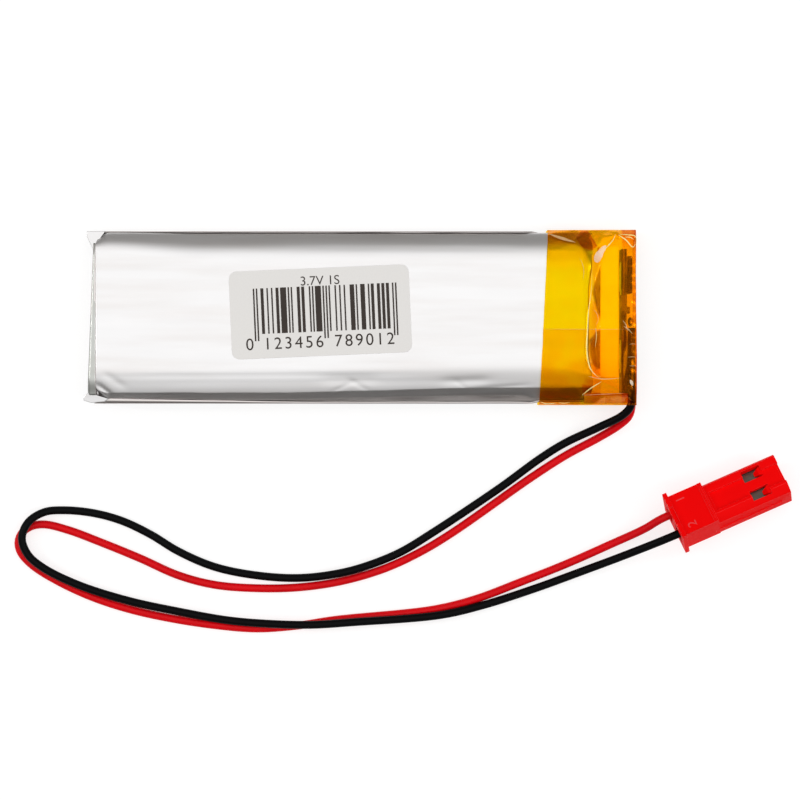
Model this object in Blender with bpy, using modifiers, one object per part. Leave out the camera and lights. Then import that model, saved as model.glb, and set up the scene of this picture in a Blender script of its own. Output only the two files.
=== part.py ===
"""Single-cell lithium-polymer battery pack with a protection board, two leads and a two-way wire connector.

Sizes are in millimetres and become metres in the helper functions. +X runs along the pack towards its
terminals, +Y across it and +Z up. The origin is under the middle of the pack, on the surface it lies on.
"""

import math

import bmesh
import bpy
from mathutils import Matrix, Vector

MM = 0.001

# Driving dimensions of the pack
HALF_LENGTH = 31.75
HALF_WIDTH = 10.15
THICKNESS = 6.65
TAPE_WALL = 0.12
FIT = 0.06

# Pouch
SHEET = 0.12
CELL_END = 26.6
CUP_LEFT = -30.75
SEAL_END = 29.45
RAISED_FLOOR = TAPE_WALL + FIT
RAISED_FROM = 20.1
CUP_TOP = THICKNESS - TAPE_WALL - FIT
CUP_HALF_WIDTH = 9.5
CUP_CORNER = 1.4
CUP_SHOULDER = 1.75
FLANGE_HEIGHT = 0.62
FOLD_HEIGHT = 4.7
SHEET_HALF_WIDTH = HALF_WIDTH - TAPE_WALL - FIT

# Flat-wound roll
ROLL_START = -29.5
ROLL_END = 24.9
ROLL_TURNS = 3
ROLL_CORE = 0.25
ROLL_HALF_FLAT = 5.7
ROLL_MIDDLE = 3.33
ROLL_GAP = 0.03
ROLL_TAPE_WALL = 0.06
ROLL_TAPE_X = (-8.0, 6.0)
FOIL_LAYERS = (
    ("cathode_foil", 0.18),
    ("inner_separator", 0.1),
    ("anode_foil", 0.16),
    ("outer_separator", 0.1),
)
ARC_STEPS = 6

# Tabs and their films
TAB_WIDTH = 3.0
TAB_THICKNESS = 0.1
TAB_SPACING = 9.0
TAB_HEIGHT = 0.45
TAB_BEND_X = 29.72
TAB_TOP = 4.4
FILM_WIDTH = 5.0
FILM_WALL = 0.05
FILM_START = 27.2
FILM_END = 29.3
FILM_FIT = 0.02
WELD_PLATE_HALF = 1.9
WELD_PLATE_Z = (1.4, 4.6)
WELD_PLATE_GAPS = (0.08, 0.03)

# Protection board and what is on it
BOARD_X = 29.94
BOARD_THICKNESS = 0.6
BOARD_BOTTOM = 0.6
BOARD_TOP = 5.3
BOARD_Y = (-8.9, 7.9)
STRIP_X = (27.35, 29.6)
STRIP_Y = (-7.0, 8.3)
STRIP_Z = (0.8, 5.42)
STRIP_EDGE = 0.12
# Gap between the board and a part, then each part: width range, height range, how far it stands out, edge
PART_GAP = 0.04
PART_HEIGHT = 0.65
MOSFET_PAIR = ((2.8, 7.1), (1.5, 4.5), PART_HEIGHT, 0.08)
PROTECTION_CHIP = ((-5.05, -3.1), (0.95, 3.85), PART_HEIGHT, 0.08)
SENSE_RESISTOR = ((0.5, 1.3), (1.4, 3.0), 0.45, 0.05)
FILTER_CAPACITOR = ((-8.3, -7.4), (2.9, 3.75), 0.5, 0.05)
CHIP_LEAD_HALF = 0.2
CHIP_LEAD_REACH = 0.95
CHIP_LEAD_Z = (1.45, 2.4, 3.35)
SOLDER_RADII = (0.375, 0.55, 0.65)
NEGATIVE_PAD = (31.02, -0.5, 4.3)
POSITIVE_PAD = (31.02, -6.65, 2.2)

# Tape round the terminal end
TAPE_START = 20.9
TAPE_SKEW = 1.0
TAPE_SLOPE_END = 27.7
TAPE_LOW_TOP = 5.65
TAPE_NOSE_TOP = 5.2
TAPE_NOSE_X = 31.2
TAPE_SHOULDER = 1.65
TAPE_LOWER_EDGE = 0.5
# Corner cut away for the leads: its lowest and highest corner
LEAD_MOUTH = ((30.35, -11.0, 1.5), (33.0, -9.2, 4.7))

# Label
LABEL_SIZE = (20.7, 10.1)
LABEL_CORNER = 0.9
LABEL_CENTRE = (-4.8, 0.6)
LABEL_TURN = 2.5
LABEL_THICKNESS = 0.08

# Leads
LEAD_DIAMETER = 0.95
LEAD_SAMPLES = 76

# Connector, in its own frame: +X towards its mouth, +Z out of its windowed side
PLUG_REAR = (36.1, -23.87, 3.55)
PLUG_TURN = 23.55
PLUG_ROLL = 25.0
PLUG_DIP = 2.0
PLUG_FLANGE = (0.5, 5.9, 5.0)
PLUG_COLLAR = (4.15, 5.2, 4.0)
PLUG_LENGTH = 13.75
PLUG_NOSE_WIDTH = 5.0
PLUG_NOSE_TOP = 1.6
PLUG_CHAMFER = 0.7
WAY_PITCH = 2.5
WAY_SIZE = (1.7, 1.9)
WAY_HEIGHT = -0.2
CHANNEL_WIDTH = 2.4
CHANNEL_DEPTH = 0.35
WINDOW_X = (9.35, 11.65)
WINDOW_WIDTH = 1.3
# Contact: barrel round the lead, neck, and the box that takes the pin
BARREL_RADIUS = 0.76
BARREL_BORE = 0.56
BARREL_X = (1.2, 4.4)
BORE_END = 4.0
NECK_X = (4.1, 6.2)
NECK_HALF = 0.35
NECK_Z = (-0.7, -0.3)
CONTACT_BOX_X = (6.0, 12.9)
CONTACT_BOX_HALF = (0.75, 0.8)
CONTACT_WALL = 0.2

# Route points of each lead's centre line, from its solder joint to its contact
BLACK_ROUTE = (
    (31.08, -1.2, 4.6), (31.08, -6.0, 4.6), (31.1, -8.6, 4.3), (31.1, -10.2, 3.7),
    (30.2, -11.3, 3.0), (27.5, -12.7, 1.7), (23.7, -14.5, 0.8), (20.8, -16.3, 0.52),
    (16.0, -19.8, 0.52), (8.2, -25.0, 0.52), (4.4, -27.3, 0.52), (0.7, -28.8, 0.95),
    (-2.6, -29.7, 1.1), (-7.3, -30.3, 0.52), (-12.4, -30.0, 0.52), (-17.3, -29.0, 0.52),
    (-21.5, -27.2, 0.52), (-24.8, -25.2, 0.52), (-28.2, -23.6, 0.52), (-31.6, -22.7, 0.52),
    (-34.9, -22.4, 0.6), (-37.1, -22.6, 1.05), (-38.9, -23.75, 1.65), (-39.65, -25.6, 1.65),
    (-39.0, -27.5, 1.45), (-37.3, -29.0, 1.45), (-33.3, -31.0, 1.3), (-27.4, -32.9, 1.1),
    (-21.4, -34.2, 1.05), (-15.7, -35.2, 1.2), (-10.8, -35.6, 1.45), (-5.9, -35.7, 1.55),
    (-1.0, -35.4, 1.45), (9.0, -34.6, 1.2), (13.9, -33.5, 0.85), (19.9, -31.6, 0.6),
    (25.6, -29.5, 0.9), (30.5, -27.6, 1.9), (35.5, -25.47, 3.94), (39.0, -23.95, 3.81),
)
RED_ROUTE = (
    (31.08, -7.3, 2.2), (31.15, -8.8, 2.25), (31.3, -10.1, 2.15), (31.0, -11.4, 1.8),
    (29.85, -12.5, 1.25), (27.6, -13.9, 0.6), (23.7, -16.0, 0.52), (19.8, -18.5, 0.52),
    (10.2, -25.2, 0.52), (6.3, -27.5, 0.52), (2.3, -29.3, 0.52), (-2.6, -30.7, 0.52),
    (-7.5, -31.4, 0.52), (-12.4, -31.5, 0.52), (-17.3, -31.1, 0.52), (-21.5, -30.0, 0.52),
    (-26.0, -28.0, 0.52), (-30.4, -26.2, 0.52), (-34.4, -24.7, 0.52), (-37.2, -24.05, 0.52),
    (-38.75, -24.3, 0.52), (-39.8, -25.1, 0.52), (-40.18, -26.2, 0.52), (-39.85, -27.4, 0.52),
    (-38.5, -28.85, 0.52), (-35.9, -30.5, 0.52), (-31.9, -32.4, 0.52), (-27.4, -33.9, 0.52),
    (-22.5, -35.0, 0.52), (-17.3, -35.8, 0.52), (-12.4, -36.2, 0.52), (-7.9, -35.9, 0.52),
    (-3.2, -35.2, 0.52), (8.2, -34.0, 0.52), (13.1, -32.8, 0.52), (18.4, -30.8, 0.52),
    (23.7, -28.7, 0.52), (28.8, -26.4, 1.2), (32.8, -24.5, 2.2), (34.6, -23.38, 2.88),
    (38.0, -21.9, 2.75),
)

# Each plane's local axes: an outline is drawn in the plane and extruded along its normal
PLANES = {
    "XY": Matrix(((1, 0, 0), (0, 1, 0), (0, 0, 1))).to_4x4(),
    "YZ": Matrix(((0, 0, 1), (1, 0, 0), (0, 1, 0))).to_4x4(),
    "XZ": Matrix(((1, 0, 0), (0, 0, -1), (0, 1, 0))).to_4x4(),
}


def clear_scene():
    for obj in list(bpy.data.objects):
        bpy.data.objects.remove(obj, do_unlink=True)


def new_collection(name):
    made = bpy.data.collections.new(name)
    bpy.context.scene.collection.children.link(made)
    return made


clear_scene()
PARTS = new_collection("lipo_battery_pack")
CUTTERS = new_collection("cutters")
CUTTERS.hide_render = True


def material(name, colour, roughness, metallic=0.0):
    made = bpy.data.materials.new(name)
    made.use_nodes = True
    shader = made.node_tree.nodes["Principled BSDF"]
    shader.inputs["Base Color"].default_value = (*colour, 1.0)
    shader.inputs["Roughness"].default_value = roughness
    shader.inputs["Metallic"].default_value = metallic
    made.diffuse_color = (*colour, 1.0)
    return made


LAMINATE = material("laminate", (0.75, 0.75, 0.76), 0.35, 0.9)
COPPER = material("copper_foil", (0.72, 0.36, 0.2), 0.4, 1.0)
CATHODE = material("coated_aluminium_foil", (0.06, 0.06, 0.07), 0.7)
SEPARATOR = material("separator", (0.9, 0.9, 0.88), 0.5)
ALUMINIUM = material("aluminium", (0.8, 0.81, 0.82), 0.3, 1.0)
NICKEL = material("nickel", (0.66, 0.64, 0.6), 0.3, 1.0)
SEAL_FILM = material("seal_film", (0.12, 0.12, 0.12), 0.5)
ROLL_ADHESIVE = material("green_tape", (0.1, 0.45, 0.3), 0.4)
INSULATION = material("insulation", (0.85, 0.83, 0.72), 0.8)
LAMINATE_BOARD = material("circuit_board", (0.02, 0.16, 0.07), 0.45)
CHIP_PLASTIC = material("chip_plastic", (0.02, 0.02, 0.02), 0.5)
CERAMIC = material("ceramic", (0.7, 0.66, 0.58), 0.5)
SOLDER = material("solder", (0.7, 0.7, 0.72), 0.25, 1.0)
POLYIMIDE = material("polyimide", (1.0, 0.5, 0.02), 0.25)
PAPER = material("label_paper", (0.8, 0.79, 0.77), 0.6)
RED_PVC = material("red_insulation", (0.75, 0.01, 0.01), 0.3)
BLACK_PVC = material("black_insulation", (0.01, 0.01, 0.01), 0.3)
RED_NYLON = material("red_nylon", (0.85, 0.0, 0.0), 0.4)


def keep(obj, look=None):
    """Links the object and gives it its material; without one it is a helper for a Boolean."""
    if look is None:
        CUTTERS.objects.link(obj)
        obj.hide_render = True
        obj.display_type = "WIRE"
        return obj
    PARTS.objects.link(obj)
    obj.data.materials.append(look)
    return obj


def mesh_object(name, shape, look=None):
    mesh = bpy.data.meshes.new(name)
    bmesh.ops.scale(shape, vec=(MM, MM, MM), verts=shape.verts)
    bmesh.ops.recalc_face_normals(shape, faces=shape.faces)
    shape.to_mesh(mesh)
    shape.free()
    return keep(bpy.data.objects.new(name, mesh), look)


def box_shape(low, high):
    shape = bmesh.new()
    bmesh.ops.create_cube(shape, size=1.0)
    size = [b - a for a, b in zip(low, high)]
    middle = [(a + b) / 2 for a, b in zip(low, high)]
    bmesh.ops.scale(shape, vec=size, verts=shape.verts)
    bmesh.ops.translate(shape, vec=middle, verts=shape.verts)
    return shape


def block(name, low, high, look=None, edge=0.0):
    shape = box_shape(low, high)
    if edge:
        bmesh.ops.bevel(shape, geom=shape.edges, offset=edge, segments=1, affect="EDGES")
    return mesh_object(name, shape, look)


def tray_shape(name, low, high, corner, shoulder, look=None):
    """A box with rounded upright edges and a rounded top edge all round."""
    shape = box_shape(low, high)
    upright = [e for e in shape.edges if abs(e.verts[0].co.z - e.verts[1].co.z) > shoulder]
    bmesh.ops.bevel(shape, geom=upright, offset=corner, segments=3, profile=0.5, affect="EDGES")
    top = [e for e in shape.edges if min(v.co.z for v in e.verts) > high[2] - 0.001]
    bmesh.ops.bevel(shape, geom=top, offset=shoulder, segments=4, profile=0.5, affect="EDGES")
    return mesh_object(name, shape, look)


def outline_solid(name, outlines, plane, start, end, look=None):
    """Closed outlines in a plane, filled and extruded from start to end along its normal."""
    curve = bpy.data.curves.new(name, "CURVE")
    curve.dimensions = "2D"
    curve.fill_mode = "BOTH"
    curve.extrude = abs(end - start) / 2 * MM
    for outline in outlines:
        spline = curve.splines.new("POLY")
        spline.points.add(len(outline) - 1)
        spline.use_cyclic_u = True
        for point, (across, up) in zip(spline.points, outline):
            point.co = (across * MM, up * MM, 0.0, 1.0)
    obj = keep(bpy.data.objects.new(name, curve), look)
    shift = Matrix.Translation((0.0, 0.0, (start + end) / 2 * MM))
    obj.matrix_world = PLANES[plane] @ shift
    return obj


def as_mesh(curve_object):
    """Replaces a curve object with a mesh whose caps are welded to its sides."""
    name = curve_object.name
    place = curve_object.matrix_world.copy()
    graph = bpy.context.evaluated_depsgraph_get()
    mesh = bpy.data.meshes.new_from_object(curve_object.evaluated_get(graph))
    shape = bmesh.new()
    shape.from_mesh(mesh)
    bmesh.ops.remove_doubles(shape, verts=shape.verts, dist=0.001 * MM)
    bmesh.ops.recalc_face_normals(shape, faces=shape.faces)
    shape.to_mesh(mesh)
    shape.free()
    look = curve_object.data.materials[0] if curve_object.data.materials else None
    bpy.data.objects.remove(curve_object)
    mesh.materials.clear()
    made = keep(bpy.data.objects.new(name, mesh), look)
    made.name = name
    made.matrix_world = place
    return made


def combine(obj, other, operation):
    """Cuts, joins or intersects the object with another, which becomes a helper."""
    if other.name in PARTS.objects:
        PARTS.objects.unlink(other)
        CUTTERS.objects.link(other)
        other.hide_render = True
        other.display_type = "WIRE"
    step = obj.modifiers.new(other.name, "BOOLEAN")
    step.operation = operation
    step.solver = "EXACT"
    step.object = other
    return obj


def arc(middle, radius, start, end, steps=4):
    angles = [math.radians(start + (end - start) * i / steps) for i in range(steps + 1)]
    return [(middle[0] + radius * math.cos(a), middle[1] + radius * math.sin(a)) for a in angles]


def rounded_rectangle(low, high, lower_radius, upper_radius):
    """Outline from its lower right corner, anticlockwise."""
    left, bottom = low
    right, top = high
    lower, upper = lower_radius, upper_radius
    return (
        arc((right - lower, bottom + lower), lower, -90, 0)
        + arc((right - upper, top - upper), upper, 0, 90)
        + arc((left + upper, top - upper), upper, 90, 180)
        + arc((left + lower, bottom + lower), lower, 180, 270)
    )


def bent_strip(name, path, width, middle_y, thickness, look):
    """A thin metal strip that follows a path in the XZ plane."""
    shape = bmesh.new()
    points = [shape.verts.new((x, middle_y - width / 2, z)) for x, z in path]
    edges = [shape.edges.new(pair) for pair in zip(points, points[1:])]
    made = bmesh.ops.extrude_edge_only(shape, edges=edges)["geom"]
    far = [item for item in made if isinstance(item, bmesh.types.BMVert)]
    bmesh.ops.translate(shape, vec=(0, width, 0), verts=far)
    obj = mesh_object(name, shape, look)
    wall = obj.modifiers.new("thickness", "SOLIDIFY")
    wall.thickness = thickness * MM
    wall.offset = 0.0
    wall.use_even_offset = True
    return obj


def pouch_cup():
    """Deep-drawn tray, open below, with a flange along both sides and a seal shelf at the terminals."""
    half = CUP_HALF_WIDTH
    low = (CUP_LEFT, -half, FLANGE_HEIGHT)
    high = (CELL_END, half, CUP_TOP)
    cup = tray_shape("pouch_cup", low, high, CUP_CORNER, CUP_SHOULDER, LAMINATE)
    inner_low = (low[0] + SHEET, low[1] + SHEET, low[2] - 1.0)
    inner_high = (high[0] - SHEET, high[1] - SHEET, high[2] - SHEET)
    hollow = tray_shape("cup_hollow", inner_low, inner_high, CUP_CORNER - SHEET, CUP_SHOULDER - SHEET)
    flange_top = FLANGE_HEIGHT + SHEET
    shelf_low = (CELL_END - 2 * CUP_CORNER, -half, FLANGE_HEIGHT)
    shelf = block("seal_shelf", shelf_low, (SEAL_END, half, flange_top))
    combine(cup, shelf, "UNION")
    for side in (-1, 1):
        near = half - 0.5 * SHEET
        far = half + 2 * SHEET
        rows = ((near, far, flange_top), (far - SHEET, far, FOLD_HEIGHT))
        for number, (inside, outside, top) in enumerate(rows):
            y = sorted((side * inside, side * outside))
            start = (CUP_LEFT + CUP_CORNER, y[0], FLANGE_HEIGHT)
            end = (CELL_END - CUP_CORNER, y[1], top)
            flange = block(f"flange_{number}_{'left' if side > 0 else 'right'}", start, end)
            combine(cup, flange, "UNION")
    return combine(cup, hollow, "DIFFERENCE")


def pouch_back_sheet():
    """Flat sheet under the cup, folded up on three sides, and stepped up for the tape."""
    half = SHEET_HALF_WIDTH
    bend = 0.5
    inside = bend - SHEET
    outline = (
        [(half, FOLD_HEIGHT)]
        + arc((half - bend, bend), bend, 0, -90)
        + arc((-half + bend, bend), bend, 270, 180)
        + [(-half, FOLD_HEIGHT), (-half + SHEET, FOLD_HEIGHT)]
        + arc((-half + bend, bend), inside, 180, 270)
        + arc((half - bend, bend), inside, -90, 0)
        + [(half - SHEET, FOLD_HEIGHT)]
    )
    end_wall = CUP_LEFT - 2 * SHEET
    sheet = as_mesh(outline_solid("pouch_back_sheet", [outline], "YZ", end_wall, CELL_END, LAMINATE))
    room = block("room_for_tape", (RAISED_FROM, -12.0, -1.0), (40.0, 12.0, RAISED_FLOOR + 0.02))
    combine(sheet, room, "DIFFERENCE")
    raised_top = RAISED_FLOOR + SHEET
    riser_low = (RAISED_FROM - SHEET, 0.4 - half, SHEET / 2)
    combine(sheet, block("sheet_riser", riser_low, (RAISED_FROM + 0.02, half - 0.4, raised_top)), "UNION")
    raised_low = (RAISED_FROM - 0.02, 0.16 - half, RAISED_FLOOR)
    combine(sheet, block("raised_sheet", raised_low, (CELL_END - 0.1, half - 0.16, raised_top)), "UNION")
    shelf_low = (CELL_END - 1.0, 1.0 - half, RAISED_FLOOR)
    combine(sheet, block("back_seal_shelf", shelf_low, (SEAL_END, half - 1.0, raised_top)), "UNION")
    wall_low = (end_wall, SHEET / 2 - half, SHEET / 2)
    wall = block("closed_end_fold", wall_low, (end_wall + SHEET, half - SHEET / 2, FOLD_HEIGHT))
    combine(sheet, wall, "UNION")
    for side in (-1, 1):
        ear = [
            (-HALF_LENGTH, side * (half - SHEET)),
            (end_wall + SHEET, side * (half - SHEET / 2)),
            (end_wall + SHEET / 2, side * (half - 2.4)),
        ]
        name = "left_ear" if side > 0 else "right_ear"
        wing = as_mesh(outline_solid(name, [ear], "XY", 0.8, FOLD_HEIGHT, LAMINATE))
        combine(sheet, wing, "UNION")
    return sheet


def roll_radius(turns):
    pitch = sum(thickness for _, thickness in FOIL_LAYERS) + len(FOIL_LAYERS) * ROLL_GAP
    return ROLL_CORE + pitch * turns


def racetrack(offset):
    """Points of the winding, flat runs between half circles that grow a little with each half turn."""
    points = []
    for half_turn in range(2 * ROLL_TURNS):
        side = 1 if half_turn % 2 == 0 else -1
        for step in range(ARC_STEPS + 1):
            share = step / ARC_STEPS
            radius = roll_radius((half_turn + share) / 2) + offset
            angle = math.pi * (share - 0.5)
            across = side * (ROLL_HALF_FLAT + radius * math.cos(angle))
            points.append((across, ROLL_MIDDLE + side * radius * math.sin(angle)))
    return points


def wound_layers():
    looks = {"cathode_foil": CATHODE, "anode_foil": COPPER}
    offset = 0.0
    for name, thickness in FOIL_LAYERS:
        outline = racetrack(offset + thickness) + racetrack(offset)[::-1]
        look = looks.get(name, SEPARATOR)
        outline_solid(name, [outline], "YZ", ROLL_START, ROLL_END, look)
        offset += thickness + ROLL_GAP


def roll_tape():
    """Band that closes the outer turn of the roll."""
    inner = roll_radius(ROLL_TURNS + 1) + ROLL_GAP
    outer = inner + ROLL_TAPE_WALL

    def ring(radius):
        right = arc((ROLL_HALF_FLAT, ROLL_MIDDLE), radius, -90, 90, 2 * ARC_STEPS)
        return right + arc((-ROLL_HALF_FLAT, ROLL_MIDDLE), radius, 90, 270, 2 * ARC_STEPS)

    outline_solid("roll_tape", [ring(outer), ring(inner)], "YZ", *ROLL_TAPE_X, ROLL_ADHESIVE)


def tabs():
    path = (
        (ROLL_END + 0.2, ROLL_MIDDLE),
        (ROLL_END + 0.45, 1.3),
        (ROLL_END + 0.9, TAB_HEIGHT),
        (TAB_BEND_X - 0.2, TAB_HEIGHT),
        (TAB_BEND_X, TAB_HEIGHT + 0.2),
        (TAB_BEND_X, TAB_TOP),
    )
    for name, side, look in (("positive", -1, ALUMINIUM), ("negative", 1, NICKEL)):
        middle = side * TAB_SPACING / 2
        bent_strip(f"{name}_tab", path, TAB_WIDTH, middle, TAB_THICKNESS, look)
        reach = TAB_THICKNESS / 2 + FILM_FIT
        outer = reach + FILM_WALL
        half = FILM_WIDTH / 2
        low = (FILM_START, middle - half, TAB_HEIGHT - outer)
        high = (FILM_END, middle + half, TAB_HEIGHT + outer)
        film = block(f"{name}_tab_film", low, high, SEAL_FILM)
        slot_half = TAB_WIDTH / 2 + 0.05
        slot_low = (FILM_START - 1, middle - slot_half, TAB_HEIGHT - reach)
        slot_high = (FILM_END + 1, middle + slot_half, TAB_HEIGHT + reach)
        combine(film, block(f"{name}_film_slot", slot_low, slot_high), "DIFFERENCE")
        plate_low = (TAB_BEND_X + WELD_PLATE_GAPS[0], middle - WELD_PLATE_HALF, WELD_PLATE_Z[0])
        plate_high = (BOARD_X - WELD_PLATE_GAPS[1], middle + WELD_PLATE_HALF, WELD_PLATE_Z[1])
        block(f"{name}_weld_plate", plate_low, plate_high, NICKEL)


def board():
    low = (BOARD_X, BOARD_Y[0], BOARD_BOTTOM)
    high = (BOARD_X + BOARD_THICKNESS, BOARD_Y[1], BOARD_TOP)
    block("protection_board", low, high, LAMINATE_BOARD)
    strip_low = (STRIP_X[0], STRIP_Y[0], STRIP_Z[0])
    strip_high = (STRIP_X[1], STRIP_Y[1], STRIP_Z[1])
    block("insulating_strip", strip_low, strip_high, INSULATION, STRIP_EDGE)


def board_part(name, size, look):
    """A block that stands on the board's outer face."""
    across, up, height, edge = size
    face = BOARD_X + BOARD_THICKNESS + PART_GAP
    return block(name, (face, across[0], up[0]), (face + height, across[1], up[1]), look, edge)


def board_parts():
    board_part("mosfet_pair", MOSFET_PAIR, CHIP_PLASTIC)
    chip = board_part("protection_chip", PROTECTION_CHIP, CHIP_PLASTIC)
    near, far = PROTECTION_CHIP[0]
    foot = BOARD_X + BOARD_THICKNESS + PART_GAP + 0.02
    for row, middle in enumerate(CHIP_LEAD_Z):
        low = (foot, near - CHIP_LEAD_REACH, middle - CHIP_LEAD_HALF)
        high = (foot + 0.18, far + CHIP_LEAD_REACH, middle + CHIP_LEAD_HALF)
        combine(chip, block(f"chip_leads_{row}", low, high), "UNION")
    board_part("sense_resistor", SENSE_RESISTOR, CHIP_PLASTIC)
    board_part("filter_capacitor", FILTER_CAPACITOR, CERAMIC)


def solder_joint(name, middle):
    """A flattened drop of solder on a pad of the board."""
    shape = bmesh.new()
    bmesh.ops.create_uvsphere(shape, u_segments=12, v_segments=8, radius=1.0)
    bmesh.ops.scale(shape, vec=SOLDER_RADII, verts=shape.verts)
    bmesh.ops.translate(shape, vec=middle, verts=shape.verts)
    obj = mesh_object(name, shape, SOLDER)
    obj.data.shade_smooth()
    return obj


def tape_profile(inset):
    """Side outline of the tape round the terminal end, drawn in the XZ plane."""
    end = HALF_LENGTH - inset
    top = THICKNESS - inset
    low_top = TAPE_LOW_TOP - inset
    return [
        (TAPE_START - 3.0, inset),
        (end, inset),
        (end, TAPE_NOSE_TOP - inset),
        (TAPE_NOSE_X, low_top),
        (TAPE_SLOPE_END - inset / 2, low_top),
        (CELL_END + FIT - inset / 2, top),
        (TAPE_START - 3.0, top),
    ]


def tape_body(name, inset, look=None):
    """Where the side outline, swept across, meets the end outline, swept along."""
    half = HALF_WIDTH - inset
    side = as_mesh(outline_solid(name, [tape_profile(inset)], "XZ", -12.0, 12.0, look))
    lower = TAPE_LOWER_EDGE - inset
    upper = TAPE_SHOULDER - inset
    ends = rounded_rectangle((-half, inset), (half, THICKNESS - inset), lower, upper)
    start = TAPE_START - (2.0 if inset == 0 else 2.5)
    section = as_mesh(outline_solid(f"{name}_section", [ends], "YZ", start, HALF_LENGTH + 1))
    return combine(side, section, "INTERSECT")


def polyimide_tape():
    """Thin film wound round the terminal end, open towards the cell and at the leads' corner."""
    tape = tape_body("polyimide_tape", 0.0, POLYIMIDE)
    hollow = tape_body("tape_hollow", TAPE_WALL)
    combine(tape, hollow, "DIFFERENCE")
    trim = block("tape_trim", (-4.0, -12.0, -1.0), (0.0, 12.0, 8.0))
    trim.location = Vector((TAPE_START, 0.0, 0.0)) * MM
    trim.rotation_euler.z = -math.atan(TAPE_SKEW / (2 * HALF_WIDTH))
    combine(tape, trim, "DIFFERENCE")
    mouth = block("lead_mouth", *LEAD_MOUTH)
    return combine(tape, mouth, "DIFFERENCE")


def barcode_label():
    length, width = LABEL_SIZE
    half = (length / 2, width / 2)
    outline = rounded_rectangle((-half[0], -half[1]), half, LABEL_CORNER, LABEL_CORNER)
    turn = math.radians(LABEL_TURN)
    turned = [
        (
            LABEL_CENTRE[0] + x * math.cos(turn) - y * math.sin(turn),
            LABEL_CENTRE[1] + x * math.sin(turn) + y * math.cos(turn),
        )
        for x, y in outline
    ]
    base = CUP_TOP + 0.03
    outline_solid("barcode_label", [turned], "XY", base, base + LABEL_THICKNESS, PAPER)


def smooth_route(points, samples):
    """Evenly spaced points on a centripetal Catmull-Rom curve through the route points."""
    route = [Vector(point) for point in points]
    knots = [0.0]
    for first, second in zip(route, route[1:]):
        knots.append(knots[-1] + math.sqrt((second - first).length))
    slopes = []
    last = len(route) - 1
    for i in range(len(route)):
        before, after = max(i - 1, 0), min(i + 1, last)
        if before == i or after == i:
            slopes.append((route[after] - route[before]) / (knots[after] - knots[before]))
            continue
        back, ahead = knots[i] - knots[before], knots[after] - knots[i]
        slope_back = (route[i] - route[before]) / back
        slope_ahead = (route[after] - route[i]) / ahead
        slopes.append((slope_back * ahead + slope_ahead * back) / (back + ahead))
    fine = []
    for i in range(last):
        span = knots[i + 1] - knots[i]
        for step in range(24):
            s = step / 24
            fine.append(
                (2 * s**3 - 3 * s**2 + 1) * route[i]
                + (s**3 - 2 * s**2 + s) * span * slopes[i]
                + (3 * s**2 - 2 * s**3) * route[i + 1]
                + (s**3 - s**2) * span * slopes[i + 1]
            )
    fine.append(route[-1])
    travelled = [0.0]
    for first, second in zip(fine, fine[1:]):
        travelled.append(travelled[-1] + (second - first).length)
    even = []
    at = 0
    for i in range(samples):
        goal = travelled[-1] * i / (samples - 1)
        while at < len(fine) - 2 and travelled[at + 1] < goal:
            at += 1
        share = (goal - travelled[at]) / (travelled[at + 1] - travelled[at])
        even.append(fine[at].lerp(fine[at + 1], min(share, 1.0)))
    return even


def lead(name, route, look):
    curve = bpy.data.curves.new(name, "CURVE")
    curve.dimensions = "3D"
    curve.bevel_depth = LEAD_DIAMETER / 2 * MM
    curve.bevel_resolution = 2
    curve.use_fill_caps = True
    points = smooth_route(route, LEAD_SAMPLES)
    spline = curve.splines.new("POLY")
    spline.points.add(len(points) - 1)
    for point, place in zip(spline.points, points):
        point.co = (*(place * MM), 1.0)
    return keep(bpy.data.objects.new(name, curve), look)


def plug_matrix():
    turn = Matrix.Rotation(math.radians(PLUG_TURN), 4, "Z")
    dip = Matrix.Rotation(math.radians(PLUG_DIP), 4, "Y")
    roll = Matrix.Rotation(math.radians(-PLUG_ROLL), 4, "X")
    return Matrix.Translation(Vector(PLUG_REAR) * MM) @ turn @ dip @ roll


def way_centres():
    """The red lead's way is on +Y, the black lead's on -Y."""
    return (("positive", WAY_PITCH / 2), ("negative", -WAY_PITCH / 2))


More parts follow.
